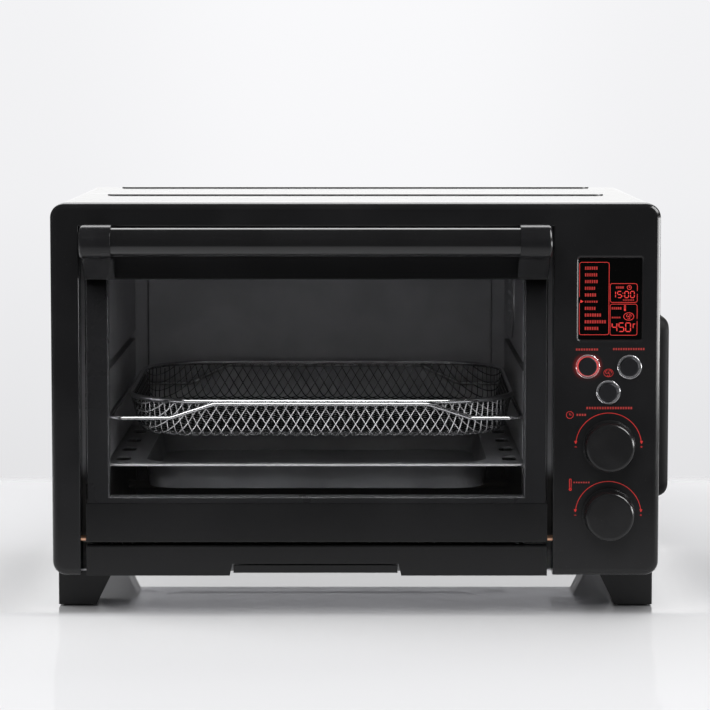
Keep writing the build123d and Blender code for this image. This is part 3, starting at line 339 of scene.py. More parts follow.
# ---------------------------------------------------------------- effects that several finishes share
def effect(name, sliders, results):
    """Starts a node group with number sliders; results names what it puts out and each socket's kind."""
    tree = bpy.data.node_groups.new(name, "ShaderNodeTree")
    for label, value in sliders.items():
        slider = tree.interface.new_socket(name=label, in_out="INPUT", socket_type="NodeSocketFloat")
        slider.default_value = value
    for label, kind in results.items():
        tree.interface.new_socket(name=label, in_out="OUTPUT", socket_type="NodeSocket" + kind)
    return tree, tree.nodes.new("NodeGroupInput").outputs


def close_effect(tree, **results):
    """Ends a node group by joining its results to what it puts out."""
    node(tree, "NodeGroupOutput", results)
    return tree


def per_millimetre(tree, size):
    """Texture scale for a feature of that size in millimetres."""
    return sums(tree, "DIVIDE", 1000, size)


def noise(tree, place, size, detail, **more):
    """Soft noise with features of a size in millimetres."""
    inputs = {"Vector": place, "Scale": per_millimetre(tree, size), "Detail": detail, **more}
    return node(tree, "TexNoise", inputs).outputs[0]


def make_fine_grain():
    """Small rounded bumps all over, as on moulded or powder-coated skins."""
    tree, slider = effect("fine_grain", {"Size": 0.6, "Clumps": 4.0}, {"Height": "Float"})
    place = object_place(tree)
    small = noise(tree, place, slider["Size"], 2)
    large = noise(tree, place, slider["Clumps"], 1)
    return close_effect(tree, Height=sums(tree, "MULTIPLY_ADD", large, 0.35, small))


def make_soft_patches():
    """Wide soft variation of tone or gloss."""
    tree, slider = effect("soft_patches", {"Size": 60.0, "Detail": 3.0}, {"Mask": "Float"})
    cloud = noise(tree, object_place(tree), slider["Size"], slider["Detail"], Distortion=0.4)
    return close_effect(tree, Mask=rise(tree, cloud, 0.3, 0.7))


def make_rolled_streaks():
    """Fine parallel lines left by rolling or brushing; a large Run draws them out along that axis."""
    tree, slider = effect("rolled_streaks", {"Size": 0.5, "Run X": 1.0, "Run Y": 1.0, "Run Z": 1.0},
                          {"Streak": "Float"})
    runs = node(tree, "CombineXYZ", {0: slider["Run X"], 1: slider["Run Y"], 2: slider["Run Z"]}).outputs[0]
    drawn = vectors(tree, "DIVIDE", object_place(tree), runs)[0]
    lines = noise(tree, drawn, slider["Size"], 3, Roughness=0.65)
    return close_effect(tree, Streak=spread(tree, lines, 0.28, 0.72, 0, 1))


def make_worn_edges():
    """Rounds the look of sharp edges and marks them, for light rubbing along corners."""
    tree, slider = effect("worn_edges", {"Width": 0.5, "Breaks": 6.0}, {"Worn": "Float", "Normal": "Vector"})
    radius = product(tree, slider["Width"], MM)
    round_normal = node(tree, "Bevel", {"Radius": radius}, samples=4).outputs[0]
    true_normal = node(tree, "NewGeometry").outputs["Normal"]
    agree = vectors(tree, "DOT_PRODUCT", round_normal, true_normal)["Value"]
    edge = spread(tree, agree, 0.995, 0.90, 0, 1)
    gaps = noise(tree, object_place(tree), slider["Breaks"], 4)
    broken = spread(tree, gaps, 0.40, 0.62, 0, 1)
    return close_effect(tree, Worn=product(tree, edge, broken), Normal=round_normal)


def make_handling_marks():
    """Faint wipes, prints and settled dust that change the gloss."""
    tree, slider = effect("handling_marks", {"Size": 25.0, "Dust": 0.8}, {"Wipes": "Float", "Dust": "Float"})
    place = object_place(tree)
    bent = noise(tree, place, slider["Size"], 4, Distortion=1.5)
    scale = per_millimetre(tree, slider["Dust"])
    specks = node(tree, "TexVoronoi", {"Vector": place, "Scale": scale}).outputs
    dust = spread(tree, specks["Distance"], 0.05, 0.16, 1, 0)
    chance = node(tree, "SeparateColor", {0: specks["Color"]}).outputs[0]
    rare = spread(tree, chance, 0.90, 0.93, 0, 1)
    return close_effect(tree, Wipes=spread(tree, bent, 0.42, 0.75, 0, 1), Dust=product(tree, dust, rare))


EFFECTS = {tree.name: tree for tree in (make_fine_grain(), make_soft_patches(), make_rolled_streaks(),
                                        make_worn_edges(), make_handling_marks())}


def use(tree, name, **sliders):
    """Places a shared effect in a material with its own values."""
    placed = node(tree, "Group", node_tree=EFFECTS[name])
    for label, value in sliders.items():
        placed.inputs[label.replace("_", " ")].default_value = value
    return placed.outputs


def finish(name):
    """A new material with an empty Principled shader."""
    material = bpy.data.materials.new(name)
    material.use_nodes = True
    tree = material.node_tree
    tree.nodes.clear()
    shader = node(tree, "BsdfPrincipled")
    node(tree, "OutputMaterial", {"Surface": shader.outputs[0]})
    return material, tree, shader


def feed(tree, shader, **inputs):
    """Joins sockets to a shader's inputs, and sets what is the same all over."""
    for label, value in inputs.items():
        socket = shader.inputs[label.replace("_", " ")]
        if isinstance(value, bpy.types.NodeSocket):
            tree.links.new(value, socket)
        else:
            socket.default_value = value


# ---------------------------------------------------------------- finishes
def coated(name, colour, rough, grain, depth, worn=0.25, edge=0.5, patch=70.0, level=0.35, coat=0.0):
    """Moulded or painted skin: soft patches of tone, fine grain, light wear along the edges.

    The grain's size and depth, the rounded edge and the patches are in millimetres.
    """
    material, tree, shader = finish(name)
    patches = use(tree, "soft_patches", Size=patch, Detail=3.0)["Mask"]
    edges = use(tree, "worn_edges", Width=edge, Breaks=5.0)
    bumps = use(tree, "fine_grain", Size=grain, Clumps=4.0)["Height"]
    marks = use(tree, "handling_marks", Size=30.0, Dust=1.6)
    tone = blend_colours(tree, patches, scaled(colour, 0.86), scaled(colour, 1.16))
    tone = blend_colours(tree, product(tree, edges["Worn"], worn), tone, scaled(colour, 2.6))
    tone = blend_colours(tree, product(tree, marks["Dust"], 0.25), tone, grey(0.22))
    gloss = spread(tree, patches, 0, 1, rough - 0.03, rough + 0.04)
    gloss = sums(tree, "MULTIPLY_ADD", marks["Wipes"], -0.03, gloss)
    feed(tree, shader, Base_Color=tone, Roughness=gloss, Normal=bump(tree, bumps, depth, edges["Normal"]),
         Specular_IOR_Level=level, Coat_Weight=coat, Coat_Roughness=0.05)
    return material


def sheet_metal(name, colour, rough, runs, streak=0.5, stretch=0.12, patch=45.0, mottle=0.12):
    """Bare sheet: rolled streaks drawn out by runs, soft mottling and bright edges."""
    material, tree, shader = finish(name)
    patches = use(tree, "soft_patches", Size=patch, Detail=5.0)["Mask"]
    lines = use(tree, "rolled_streaks", Size=streak, Run_X=runs[0], Run_Y=runs[1], Run_Z=runs[2])["Streak"]
    edges = use(tree, "worn_edges", Width=0.3, Breaks=4.0)
    marks = use(tree, "handling_marks", Size=22.0, Dust=1.2)
    tone = blend_colours(tree, patches, scaled(colour, 1 - mottle), scaled(colour, 1 + mottle))
    tone = blend_colours(tree, product(tree, lines, stretch), tone, scaled(colour, 1.35))
    tone = blend_colours(tree, product(tree, edges["Worn"], 0.3), tone, scaled(colour, 1.5))
    gloss = spread(tree, lines, 0, 1, rough - 0.05, rough + 0.06)
    gloss = sums(tree, "MULTIPLY_ADD", patches, 0.05, gloss)
    gloss = sums(tree, "MULTIPLY_ADD", marks["Wipes"], 0.04, gloss)
    relief = bump(tree, lines, 0.004, edges["Normal"])
    feed(tree, shader, Base_Color=tone, Roughness=gloss, Normal=relief, Metallic=1.0)
    return material


def plated(name, colour, rough, ripples=0.0015, metal=1.0, wipes=0.07):
    """Bright plating with faint wipes and tiny ripples of a depth in millimetres."""
    material, tree, shader = finish(name)
    marks = use(tree, "handling_marks", Size=14.0, Dust=1.0)
    patches = use(tree, "soft_patches", Size=18.0, Detail=2.0)["Mask"]
    ripple = use(tree, "fine_grain", Size=1.6, Clumps=7.0)["Height"]
    tone = blend_colours(tree, patches, scaled(colour, 0.93), colour)
    gloss = sums(tree, "MULTIPLY_ADD", marks["Wipes"], wipes, rough)
    feed(tree, shader, Base_Color=tone, Roughness=gloss, Normal=bump(tree, ripple, ripples), Metallic=metal)
    return material


def bright_wire():
    """Nickel-plated wire, painted lighter by the door and painted in shade further in and along the basket's
    floor.
    """
    material, tree, shader = finish("mesh_wire")
    patches = use(tree, "soft_patches", Size=18.0, Detail=2.0)["Mask"]
    marks = use(tree, "handling_marks", Size=14.0, Dust=1.0)
    _, along, up = object_axes(tree)
    front_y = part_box("basket_rim")[0].y
    far = rise(tree, along, front_y + 10 * MM, front_y + 48 * MM)
    floor_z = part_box("basket_mesh")[0].z
    low = spread(tree, up, floor_z + 2 * MM, floor_z + 9 * MM, 0.55, 0, smooth=True)
    # Painted light and shade: the wire's colour is lightest by the door and dark further in and low on the
    # floor.
    painted_shade_inside = sums(tree, "MAXIMUM", far, low)
    tone = blend_colours(tree, painted_shade_inside, (0.95, 0.95, 0.96), (0.20, 0.20, 0.205))
    tone = blend_colours(tree, product(tree, patches, 0.15), tone, grey(0.35))
    gloss = sums(tree, "MULTIPLY_ADD", marks["Wipes"], 0.06, spread(tree, painted_shade_inside, 0, 1, 0.20, 0.14))
    feed(tree, shader, Base_Color=tone, Roughness=gloss, Metallic=spread(tree, painted_shade_inside, 0, 1, 0.42, 1.0))
    return material


def liner_with_painted_shade():
    """Rolled sheet of the oven's lining, with painted shade low down, below the pan's top."""
    material = sheet_metal("cavity_steel", (0.46, 0.46, 0.472), 0.36, (1, 1, 10), streak=0.9, mottle=0.10)
    tree = material.node_tree
    shader = find_node(tree, "BSDF_PRINCIPLED")
    clean = shader.inputs["Base Color"].links[0].from_socket
    # Painted shade: the lining's colour turns dark below the pan's top, with a ragged edge.
    cloud = use(tree, "soft_patches", Size=50.0, Detail=4.0)["Mask"]
    height = sums(tree, "MULTIPLY_ADD", cloud, 8 * MM, object_axes(tree)[2])
    pan_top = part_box("baking_pan")[1].z
    painted_shade_below_pan = fall(tree, height, pan_top - 4 * MM, pan_top + 12 * MM)
    feed(tree, shader, Base_Color=blend_colours(tree, painted_shade_below_pan, clean, (0.060, 0.058, 0.056)))
    return material


def clear_glass():
    """Tempered glass that lamps shine through, with faint wipes."""
    material, tree, shader = finish("tempered_glass")
    marks = use(tree, "handling_marks", Size=35.0, Dust=2.2)
    gloss = product(tree, marks["Wipes"], 0.015)
    tone = blend_colours(tree, marks["Dust"], (0.96, 0.96, 0.968), grey(0.7))
    feed(tree, shader, Base_Color=tone, Roughness=gloss, IOR=1.3, Transmission_Weight=1.0)
    shadow_ray = node(tree, "LightPath").outputs["Is Shadow Ray"]
    open_air = node(tree, "BsdfTransparent", {"Color": (0.955, 0.955, 0.962, 1)})
    mixed = node(tree, "MixShader", {0: shadow_ray, 1: shader.outputs[0], 2: open_air.outputs[0]})
    tree.links.new(mixed.outputs[0], find_node(tree, "OUTPUT_MATERIAL").inputs["Surface"])
    return material


def spun_metal(name, colour, centres):
    """Dark metal turned on a lathe: fine rings round each button's middle."""
    material, tree, shader = finish(name)
    reaches = [out_from(tree, centre)[1] for centre in centres]
    nearest = reaches[0]
    for reach in reaches[1:]:
        nearest = sums(tree, "MINIMUM", nearest, reach)
    rings_per_metre = 3200
    rings = node(tree, "TexNoise", {"W": product(tree, nearest, rings_per_metre), "Scale": 1.0, "Detail": 2},
                 noise_dimensions="1D").outputs[0]
    edges = use(tree, "worn_edges", Width=0.3, Breaks=3.0)
    tone = blend_colours(tree, rings, scaled(colour, 0.75), scaled(colour, 1.3))
    gloss = spread(tree, rings, 0.3, 0.7, 0.30, 0.42)
    relief = bump(tree, rings, 0.03, edges["Normal"])
    feed(tree, shader, Base_Color=tone, Roughness=gloss, Normal=relief, Metallic=0.85)
    return material


def gloss_lens():
    """Black display window with wipes and dust."""
    material, tree, shader = finish("black_lens")
    marks = use(tree, "handling_marks", Size=12.0, Dust=1.5)
    tone = blend_colours(tree, product(tree, marks["Dust"], 0.4), grey(0.0018), grey(0.07))
    gloss = sums(tree, "MULTIPLY_ADD", marks["Wipes"], 0.05, 0.07)
    feed(tree, shader, Base_Color=tone, Roughness=gloss, Specular_IOR_Level=0.15)
    return material


def baked_enamel():
    """Dark grey non-stick coating with pale flecks, and a painted highlight along its front lip."""
    material, tree, shader = finish("pan_coating")
    patches = use(tree, "soft_patches", Size=55.0, Detail=4.0)["Mask"]
    bumps = use(tree, "fine_grain", Size=0.9, Clumps=6.0)["Height"]
    edges = use(tree, "worn_edges", Width=0.5, Breaks=7.0)
    marks = use(tree, "handling_marks", Size=28.0, Dust=0.9)
    tone = blend_colours(tree, patches, (0.078, 0.079, 0.082), (0.115, 0.117, 0.121))
    tone = blend_colours(tree, product(tree, marks["Dust"], 0.5), tone, grey(0.26))
    tone = blend_colours(tree, product(tree, edges["Worn"], 0.35), tone, grey(0.30))
    lip_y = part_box("baking_pan")[0].y
    along = object_axes(tree)[1]
    # Painted highlight: a pale band along the pan's front lip.
    painted_highlight_lip = spread(tree, along, lip_y + 0.5 * MM, lip_y + 2.2 * MM, 0.8, 0, smooth=True)
    tone = blend_colours(tree, painted_highlight_lip, tone, grey(0.55))
    gloss = spread(tree, patches, 0, 1, 0.30, 0.40)
    relief = bump(tree, bumps, 0.012, edges["Normal"])
    feed(tree, shader, Base_Color=tone, Roughness=gloss, Normal=relief, Specular_IOR_Level=0.6)
    return material


def circuit_board():
    """Green solder mask over copper tracks."""
    material, tree, shader = finish("circuit_board")
    grid = {"Vector": object_place(tree), "Scale": 160.0, "Mortar Size": 0.03, "Brick Width": 0.9}
    tracks = node(tree, "TexBrick", grid, offset=0.5).outputs["Fac"]
    patches = use(tree, "soft_patches", Size=20.0, Detail=3.0)["Mask"]
    tone = blend_colours(tree, patches, (0.010, 0.085, 0.035), (0.016, 0.120, 0.050))
    tone = blend_colours(tree, tracks, tone, (0.03, 0.19, 0.08))
    gloss = spread(tree, patches, 0, 1, 0.28, 0.40)
    feed(tree, shader, Base_Color=tone, Roughness=gloss, Normal=bump(tree, tracks, 0.03))
    return material


def fired_ceramic():
    """Unglazed ceramic with fine pits."""
    material, tree, shader = finish("fired_ceramic")
    patches = use(tree, "soft_patches", Size=9.0, Detail=4.0)["Mask"]
    pits = use(tree, "fine_grain", Size=0.5, Clumps=2.0)["Height"]
    tone = blend_colours(tree, patches, (0.62, 0.60, 0.55), (0.74, 0.72, 0.67))
    gloss = spread(tree, patches, 0, 1, 0.7, 0.85)
    feed(tree, shader, Base_Color=tone, Roughness=gloss, Normal=bump(tree, pits, 0.05))
    return material


def heater_sheath():
    """Dull steel tube, browned in places by heat."""
    material, tree, shader = finish("heater_sheath")
    patches = use(tree, "soft_patches", Size=26.0, Detail=5.0)["Mask"]
    lines = use(tree, "rolled_streaks", Size=0.5, Run_X=14.0)["Streak"]
    tone = blend_colours(tree, patches, (0.13, 0.12, 0.115), (0.20, 0.17, 0.14))
    gloss = spread(tree, lines, 0, 1, 0.42, 0.58)
    feed(tree, shader, Base_Color=tone, Roughness=gloss, Normal=bump(tree, lines, 0.01), Metallic=0.8)
    return material


def glowing_print(name, colour, glow):
    """Red marks that glow, a little uneven in brightness: lit on the display, and a painted glow on printed
    marks.
    """
    material, tree, shader = finish(name)
    patches = use(tree, "soft_patches", Size=7.0, Detail=2.0)["Mask"]
    tone = blend_colours(tree, patches, scaled(colour, 0.85), colour)
    feed(tree, shader, Base_Color=tone, Roughness=spread(tree, patches, 0, 1, 0.4, 0.5), Emission_Color=tone,
         Emission_Strength=glow)
    return material


def middle(name):
    """Middle of a CAD node's box."""
    low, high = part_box(name)
    return (low + high) / 2


def red_glow(material, centre, near, far, level):
    """Red light spilled on a finish round the lit button, from one radius in millimetres to another.

    It is stronger on the button's left and right.
    """
    tree = material.node_tree
    flat, reach = out_from(tree, centre)
    across = node(tree, "SeparateXYZ", {0: vectors(tree, "NORMALIZE", flat)[0]}).outputs[0]
    sides = spread(tree, sums(tree, "ABSOLUTE", across), 0.2, 1, 0.12, 1, smooth=True)
    faded = spread(tree, reach, near * MM, far * MM, 1, 0)
    mask = product(tree, sums(tree, "POWER", faded, 1.6), sides)
    feed(tree, find_node(tree, "BSDF_PRINCIPLED"), Emission_Strength=level,
         Emission_Color=blend_colours(tree, mask, (0, 0, 0), (1, 0.015, 0.012)))


BUTTONS = ("button_left", "button_right", "button_lower")
# One finish for each material slot of the CAD.
FINISHES = {
    "bezel_plastic": coated("bezel_plastic", (0.0115, 0.0115, 0.0122), 0.22, 0.35, 0.004, worn=0.2),
    "shell_paint": coated("shell_paint", (0.012, 0.012, 0.013), 0.30, 0.9, 0.003, edge=0.4, patch=120.0,
                          coat=1.0),
    "door_metal": coated("door_paint", (0.0075, 0.0075, 0.008), 0.22, 0.8, 0.004, edge=0.4, patch=90.0),
    "handle_paint": coated("handle_paint", (0.0085, 0.0085, 0.009), 0.14, 0.5, 0.002, patch=50.0, level=0.7),
    "cap_plastic": coated("cap_plastic", (0.013, 0.013, 0.014), 0.22, 0.3, 0.004, edge=0.6, patch=30.0),
    "knob_plastic": coated("knob_plastic", (0.014, 0.014, 0.0146), 0.22, 0.25, 0.003, edge=0.4, patch=25.0),
    "part_plastic": coated("part_plastic", (0.03, 0.03, 0.032), 0.48, 0.4, 0.015, patch=25.0),
    "foot_plastic": coated("foot_plastic", (0.010, 0.010, 0.0105), 0.46, 0.5, 0.02, edge=0.7, patch=30.0),
    "rubber": coated("rubber", grey(0.018), 0.72, 0.5, 0.03, worn=0.1, patch=15.0, level=0.25),
    "base_steel": sheet_metal("base_steel", (0.58, 0.58, 0.60), 0.34, (1, 14, 1)),
    "cavity_steel": liner_with_painted_shade(),
    "tray_steel": sheet_metal("tray_steel", (0.38, 0.38, 0.385), 0.34, (14, 1, 1)),
    "fan_metal": sheet_metal("fan_metal", (0.55, 0.55, 0.56), 0.34, (1, 8, 1)),
    "motor_steel": sheet_metal("motor_steel", (0.32, 0.32, 0.33), 0.42, (0.3, 12, 12), streak=0.8,
                               stretch=0.4),
    "screw_steel": sheet_metal("screw_steel", (0.46, 0.46, 0.47), 0.30, (1, 1, 4), patch=6.0),
    "pin_copper": sheet_metal("pin_copper", (0.72, 0.42, 0.28), 0.30, (6, 1, 1), patch=5.0),
    "wire_chrome": plated("wire_chrome", (0.72, 0.72, 0.73), 0.10),
    "ring_chrome": plated("ring_chrome", (0.80, 0.80, 0.82), 0.13, ripples=0.0002, metal=0.86, wipes=0.02),
    "button_metal": spun_metal("button_metal", (0.05, 0.05, 0.055), [middle(name) for name in BUTTONS]),
    "door_glass": clear_glass(),
    "display_glass": gloss_lens(),
    "pan_enamel": baked_enamel(),
    "heater_sheath": heater_sheath(),
    "ceramic": fired_ceramic(),
    "board": circuit_board(),
}
# Nodes that don't take the finish of their slot.
OWN_FINISHES = {
    # The door frame's paint is a lighter copy of the door's black paint: painted light on a frame that sits
    # in shade behind the glass.
    "door_frame": coated("door_frame_paint_with_painted_light", (0.045, 0.045, 0.047), 0.30, 0.8, 0.004, patch=90.0),
    "side_vent_cover": coated("vent_plastic", (0.013, 0.013, 0.0135), 0.50, 0.5, 0.008, patch=40.0,
                              level=0.04),
}

red_glow(FINISHES["bezel_plastic"], middle("button_left"), 9.2, 12.4, 0.14)
red_glow(FINISHES["ring_chrome"], middle("button_left"), 7.4, 10.5, 0.36)

# Finishes of the pieces that are made here.
mesh_wire = bright_wire()
lit_red = glowing_print("lit_red", (0.62, 0.035, 0.030), 0.8)
# The panel's printed marks glow too: painted light on plain print.
print_red_painted_glow = glowing_print("print_red_painted_glow", (0.45, 0.018, 0.015), 0.50)
dim_red = glowing_print("dim_red", (0.36, 0.020, 0.017), 0.42)
dim_print_painted_glow = glowing_print("dim_print_painted_glow", (0.34, 0.026, 0.022), 0.35)


def paint(piece, material):
    """Gives a piece one finish all over."""
    piece.data.materials.clear()
    piece.data.materials.append(material)


for part in record["subparts"]:
    plain_finish = FINISHES[part["material_slot"]]
    paint(frame["nodes"][part["node"]], OWN_FINISHES.get(part["node"], plain_finish))


# ---------------------------------------------------------------- small mesh tools
def place_piece(name, data, material, body):
    """Puts a finished mesh or curve in the scene on a CAD body."""
    piece = bpy.data.objects.new(name, data)
    bpy.context.scene.collection.objects.link(piece)
    paint(piece, material)
    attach(piece, body)
    return piece


def band(mesh, path, width, front_y, thickness, closed=False):
    """Flat raised line on an upright face: path is (x, z) points, and the line stands towards -Y."""
    count = len(path)
    stations = []
    for index, (x, z) in enumerate(path):
        if closed:
            before, after = path[index - 1], path[(index + 1) % count]
        else:
            before, after = path[max(index - 1, 0)], path[min(index + 1, count - 1)]
        along = Vector((after[0] - before[0], after[1] - before[1])).normalized()
        across = Vector((-along.y, along.x)) * width / 2
        corners = ((x + across.x, z + across.y, front_y), (x - across.x, z - across.y, front_y),
                   (x - across.x, z - across.y, front_y + thickness),
                   (x + across.x, z + across.y, front_y + thickness))
        stations.append([mesh.verts.new((px, py, pz)) for px, pz, py in corners])
    following = stations[1:] + stations[:1] if closed else stations[1:]
    for here, there in zip(stations, following):
        for side in range(4):
            mesh.faces.new((here[side], here[(side + 1) % 4], there[(side + 1) % 4], there[side]))
    if not closed:
        mesh.faces.new(reversed(stations[0]))
        mesh.faces.new(stations[-1])


def mesh_piece(name, mesh, material, body):
    """Turns a finished bmesh into a piece."""
    bmesh.ops.recalc_face_normals(mesh, faces=mesh.faces)
    data = bpy.data.meshes.new(name)
    mesh.to_mesh(data)
    mesh.free()
    return place_piece(name, data, material, body)


def smooth(piece):
    """Shades a piece smooth, except across sharp edges."""
    sharp = math.radians(35)
    piece.data.polygons.foreach_set("use_smooth", [True] * len(piece.data.polygons))
    piece.data.set_sharp_from_angle(angle=sharp)


def arc(centre, radius, start, end, steps):
    """Points round a centre, from one angle to another in degrees, counted from the right upwards."""
    angles = [math.radians(start + (end - start) * step / steps) for step in range(steps + 1)]
    return [(centre[0] + radius * math.cos(angle), centre[1] + radius * math.sin(angle)) for angle in angles]


def circle(centre, radius, steps=24):
    """Points all round a centre, for a closed line."""
    return arc(centre, radius, 0, 360, steps)[:-1]


class Marks:
    """Raised lines on one upright face, measured in millimetres from a centre."""

    def __init__(self, centre_x, centre_z, front_y, thickness):
        self.mesh = bmesh.new()
        self.centre = (centre_x, centre_z)
        self.front_y = front_y - thickness
        self.thickness = thickness

    def line(self, path, width, closed=False):
        """Raised line of a width through (x, z) points."""
        points = [(self.centre[0] + x * MM, self.centre[1] + z * MM) for x, z in path]
        band(self.mesh, points, width * MM, self.front_y, self.thickness, closed)

    def words(self, left, right, z, height, letter, gap):
        """A label stood for by a row of plain blocks."""
        count = max(1, round((right - left + gap) / (letter + gap)))
        pitch = (right - left + gap) / count
        for index in range(count):
            start = left + index * pitch
            self.line([(start, z), (start + pitch - gap, z)], height)

    def oval(self, x, z, radius, stretch, stroke):
        """Circle drawn out sideways."""
        self.line([(x + stretch * px, z + pz) for px, pz in circle((0, 0), radius)], stroke, closed=True)

    def digit(self, number, left, low, width, height, stroke):
        """Number of up to seven straight segments, which stop short of each other."""
        inset = stroke * 0.6
        right, top, waist = left + width, low + height, low + height / 2
        across = (left + inset, right - inset)
        upper, lower = (top - inset, waist + inset), (waist - inset, low + inset)
        bars = {
            "a": [(x, top) for x in across], "g": [(x, waist) for x in across],
            "d": [(x, low) for x in across], "b": [(right, z) for z in upper],
            "c": [(right, z) for z in lower], "e": [(left, z) for z in lower],
            "f": [(left, z) for z in upper]}
        shown = {"0": "abcdef", "1": "bc", "4": "bcfg", "5": "acdfg"}[number]
        for name in shown:
            self.line(bars[name], stroke)

    def clock(self, x, z, radius, stroke):
        """Round face with two hands."""
        self.line(circle((x, z), radius), stroke, closed=True)
        self.line([(x, z + radius * 0.62), (x, z)], stroke)
        self.line([(x, z), (x + radius * 0.5, z)], stroke)

    def thermometer(self, x, low, high, stroke):
        """Narrow tube over a bulb."""
        half = stroke * 1.3
        bulb = (x, low + 2 * half)
        tube = arc((x, high - half), half, 0, 180, 8) + [(x - half, bulb[1]), (x + half, bulb[1])]
        self.line(tube, stroke, closed=True)
        self.line(circle(bulb, half * 1.2, 12), stroke * 1.6, closed=True)

    def fan(self, x, z, radius, stroke):
        """Three curved blades round a hub."""
        self.line(circle((x, z), radius * 0.16, 8), stroke, closed=True)
        for turn in (30, 150, 270):
            angle = math.radians(turn)
            root = (x + radius * 0.55 * math.cos(angle), z + radius * 0.55 * math.sin(angle))
            self.line(arc(root, radius * 0.42, turn - 80, turn + 130, 8), stroke)


# ---------------------------------------------------------------- display, in millimetres from its middle
LIT_HEIGHT = 0.06 * MM
FRAME_LINE = 0.30
FRAME_CORNER = 1.6
BOX_LEFT = 0.0
BOX_RIGHT = 20.8


def open_box(open_x, other_x, high, low, gap_high, gap_low):
    """Rounded outline of a box, from one end of the gap in its open side round to the other end."""
    way = math.copysign(1, open_x - other_x)
    open_corner, other_corner = open_x - way * FRAME_CORNER, other_x + way * FRAME_CORNER
    high_corner, low_corner = high - FRAME_CORNER, low + FRAME_CORNER
    path = [(open_x, gap_high)]
    for x, z, start in ((open_corner, high_corner, 0), (other_corner, high_corner, 90),
                        (other_corner, low_corner, 180), (open_corner, low_corner, 270)):
        path += [(x + way * px, z + pz) for px, pz in arc((0, 0), FRAME_CORNER, start, start + 90, 4)]
    return path + [(open_x, gap_low)]


def lit_menu(marks, rows):
    """Tall box open on its left, with an arrowhead in the gap and a column of rows."""
    marks.line(open_box(-23.7, -0.95, 28.2, -27.7, 1.45, -3.2), FRAME_LINE)
    arrow_z = -2.0
    for x, half in ((-22.6, 1.1), (-21.9, 0.7), (-21.2, 0.3)):
        marks.line([(x, arrow_z - half), (x, arrow_z + half)], 0.7)
    left, top, pitch = -19.5, 23.7, 5.17
    for row, length in enumerate((9.5, 9.3, 9.7, 7.7, 8.5, 9.7, 8.1, 12.4, 16.2, 10.4)):
        height = 1.5 if row == 5 else 2.4
        rows.words(left, left + length, top - pitch * row, height, letter=1.15, gap=0.65)


def lit_clock(marks, rows):
    """Box with a label and a clock mark over the time, and a small label under it."""
    marks.line(open_box(BOX_RIGHT, BOX_LEFT, 11.8, -2.7, 6.1, 3.8), FRAME_LINE)
    rows.words(4.4, 10.3, 8.8, 1.7, letter=1.0, gap=0.5)
    marks.clock(14.6, 8.8, 1.6, 0.32)
    for number, left in zip("1500", (1.2, 5.7, 11.2, 15.6)):
        marks.digit(number, left, 0.9, width=2.9, height=4.9, stroke=0.55)
    for z in (2.2, 4.4):
        marks.line([(9.5, z), (10.05, z)], 0.55)
    rows.words(9.8, 18.3, -0.9, 0.9, letter=0.8, gap=0.4)


def lit_temperature(marks, rows):
    """Box with labels, a thermometer mark and a fan mark over the temperature and its unit's mark."""
    marks.line(open_box(BOX_RIGHT, BOX_LEFT, -4.05, -28.1, -15.5, -17.1), FRAME_LINE)
    rows.words(1.1, 8.6, -7.3, 1.8, letter=1.1, gap=0.5)
    marks.thermometer(11.4, -9.4, -4.9, 0.35)
    marks.fan(14.4, -13.6, 2.0, 0.34)
    marks.oval(14.4, -13.6, 2.9, 1.35, 0.34)
    rows.words(1.2, 7.9, -14.4, 1.2, letter=0.9, gap=0.45)
    for number, left in zip("450", (1.6, 6.9, 12.1)):
        marks.digit(number, left, -25.2, width=3.7, height=6.6, stroke=0.65)
    marks.line([(17.8, -22.5), (17.8, -19.4)], 0.5)
    marks.line([(17.6, -19.4), (19.3, -19.4)], 0.5)


def lit_display():
    """Menu column, clock box and temperature box on the lens, with rows of blocks a little dimmer."""
    centre = middle("display_lens")
    face_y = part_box("display_lens")[0].y
    marks = Marks(centre.x, centre.z, face_y, LIT_HEIGHT)
    rows = Marks(centre.x, centre.z, face_y, LIT_HEIGHT)
    for draw in (lit_menu, lit_clock, lit_temperature):
        draw(marks, rows)
    mesh_piece("display_rows", rows.mesh, dim_red, "case")
    mesh_piece("display_figures", marks.mesh, lit_red, "case")


lit_display()


# ---------------------------------------------------------------- marks on the panel, in millimetres
PRINT_HEIGHT = 0.05 * MM
ARROW_RADIUS = 25.4
ARROW_STROKE = 0.52
SIGN_STROKE = 0.45


def turn_arrow(marks, z):
    """Arc over a knob with an arrowhead at each end, a minus on the left and a plus on the right."""
    marks.line(arc((0, z), ARROW_RADIUS, 8, 172, 48), ARROW_STROKE)
    for tip in (-ARROW_RADIUS, ARROW_RADIUS):
        for up, half in ((3.35, 1.0), (2.65, 0.75), (1.95, 0.4)):
            marks.line([(tip - half, z + up), (tip + half, z + up)], 0.75)
        marks.line([(tip - 0.75, z - 0.9), (tip + 0.75, z - 0.9)], SIGN_STROKE)
    marks.line([(ARROW_RADIUS, z - 0.15), (ARROW_RADIUS, z - 1.65)], SIGN_STROKE)


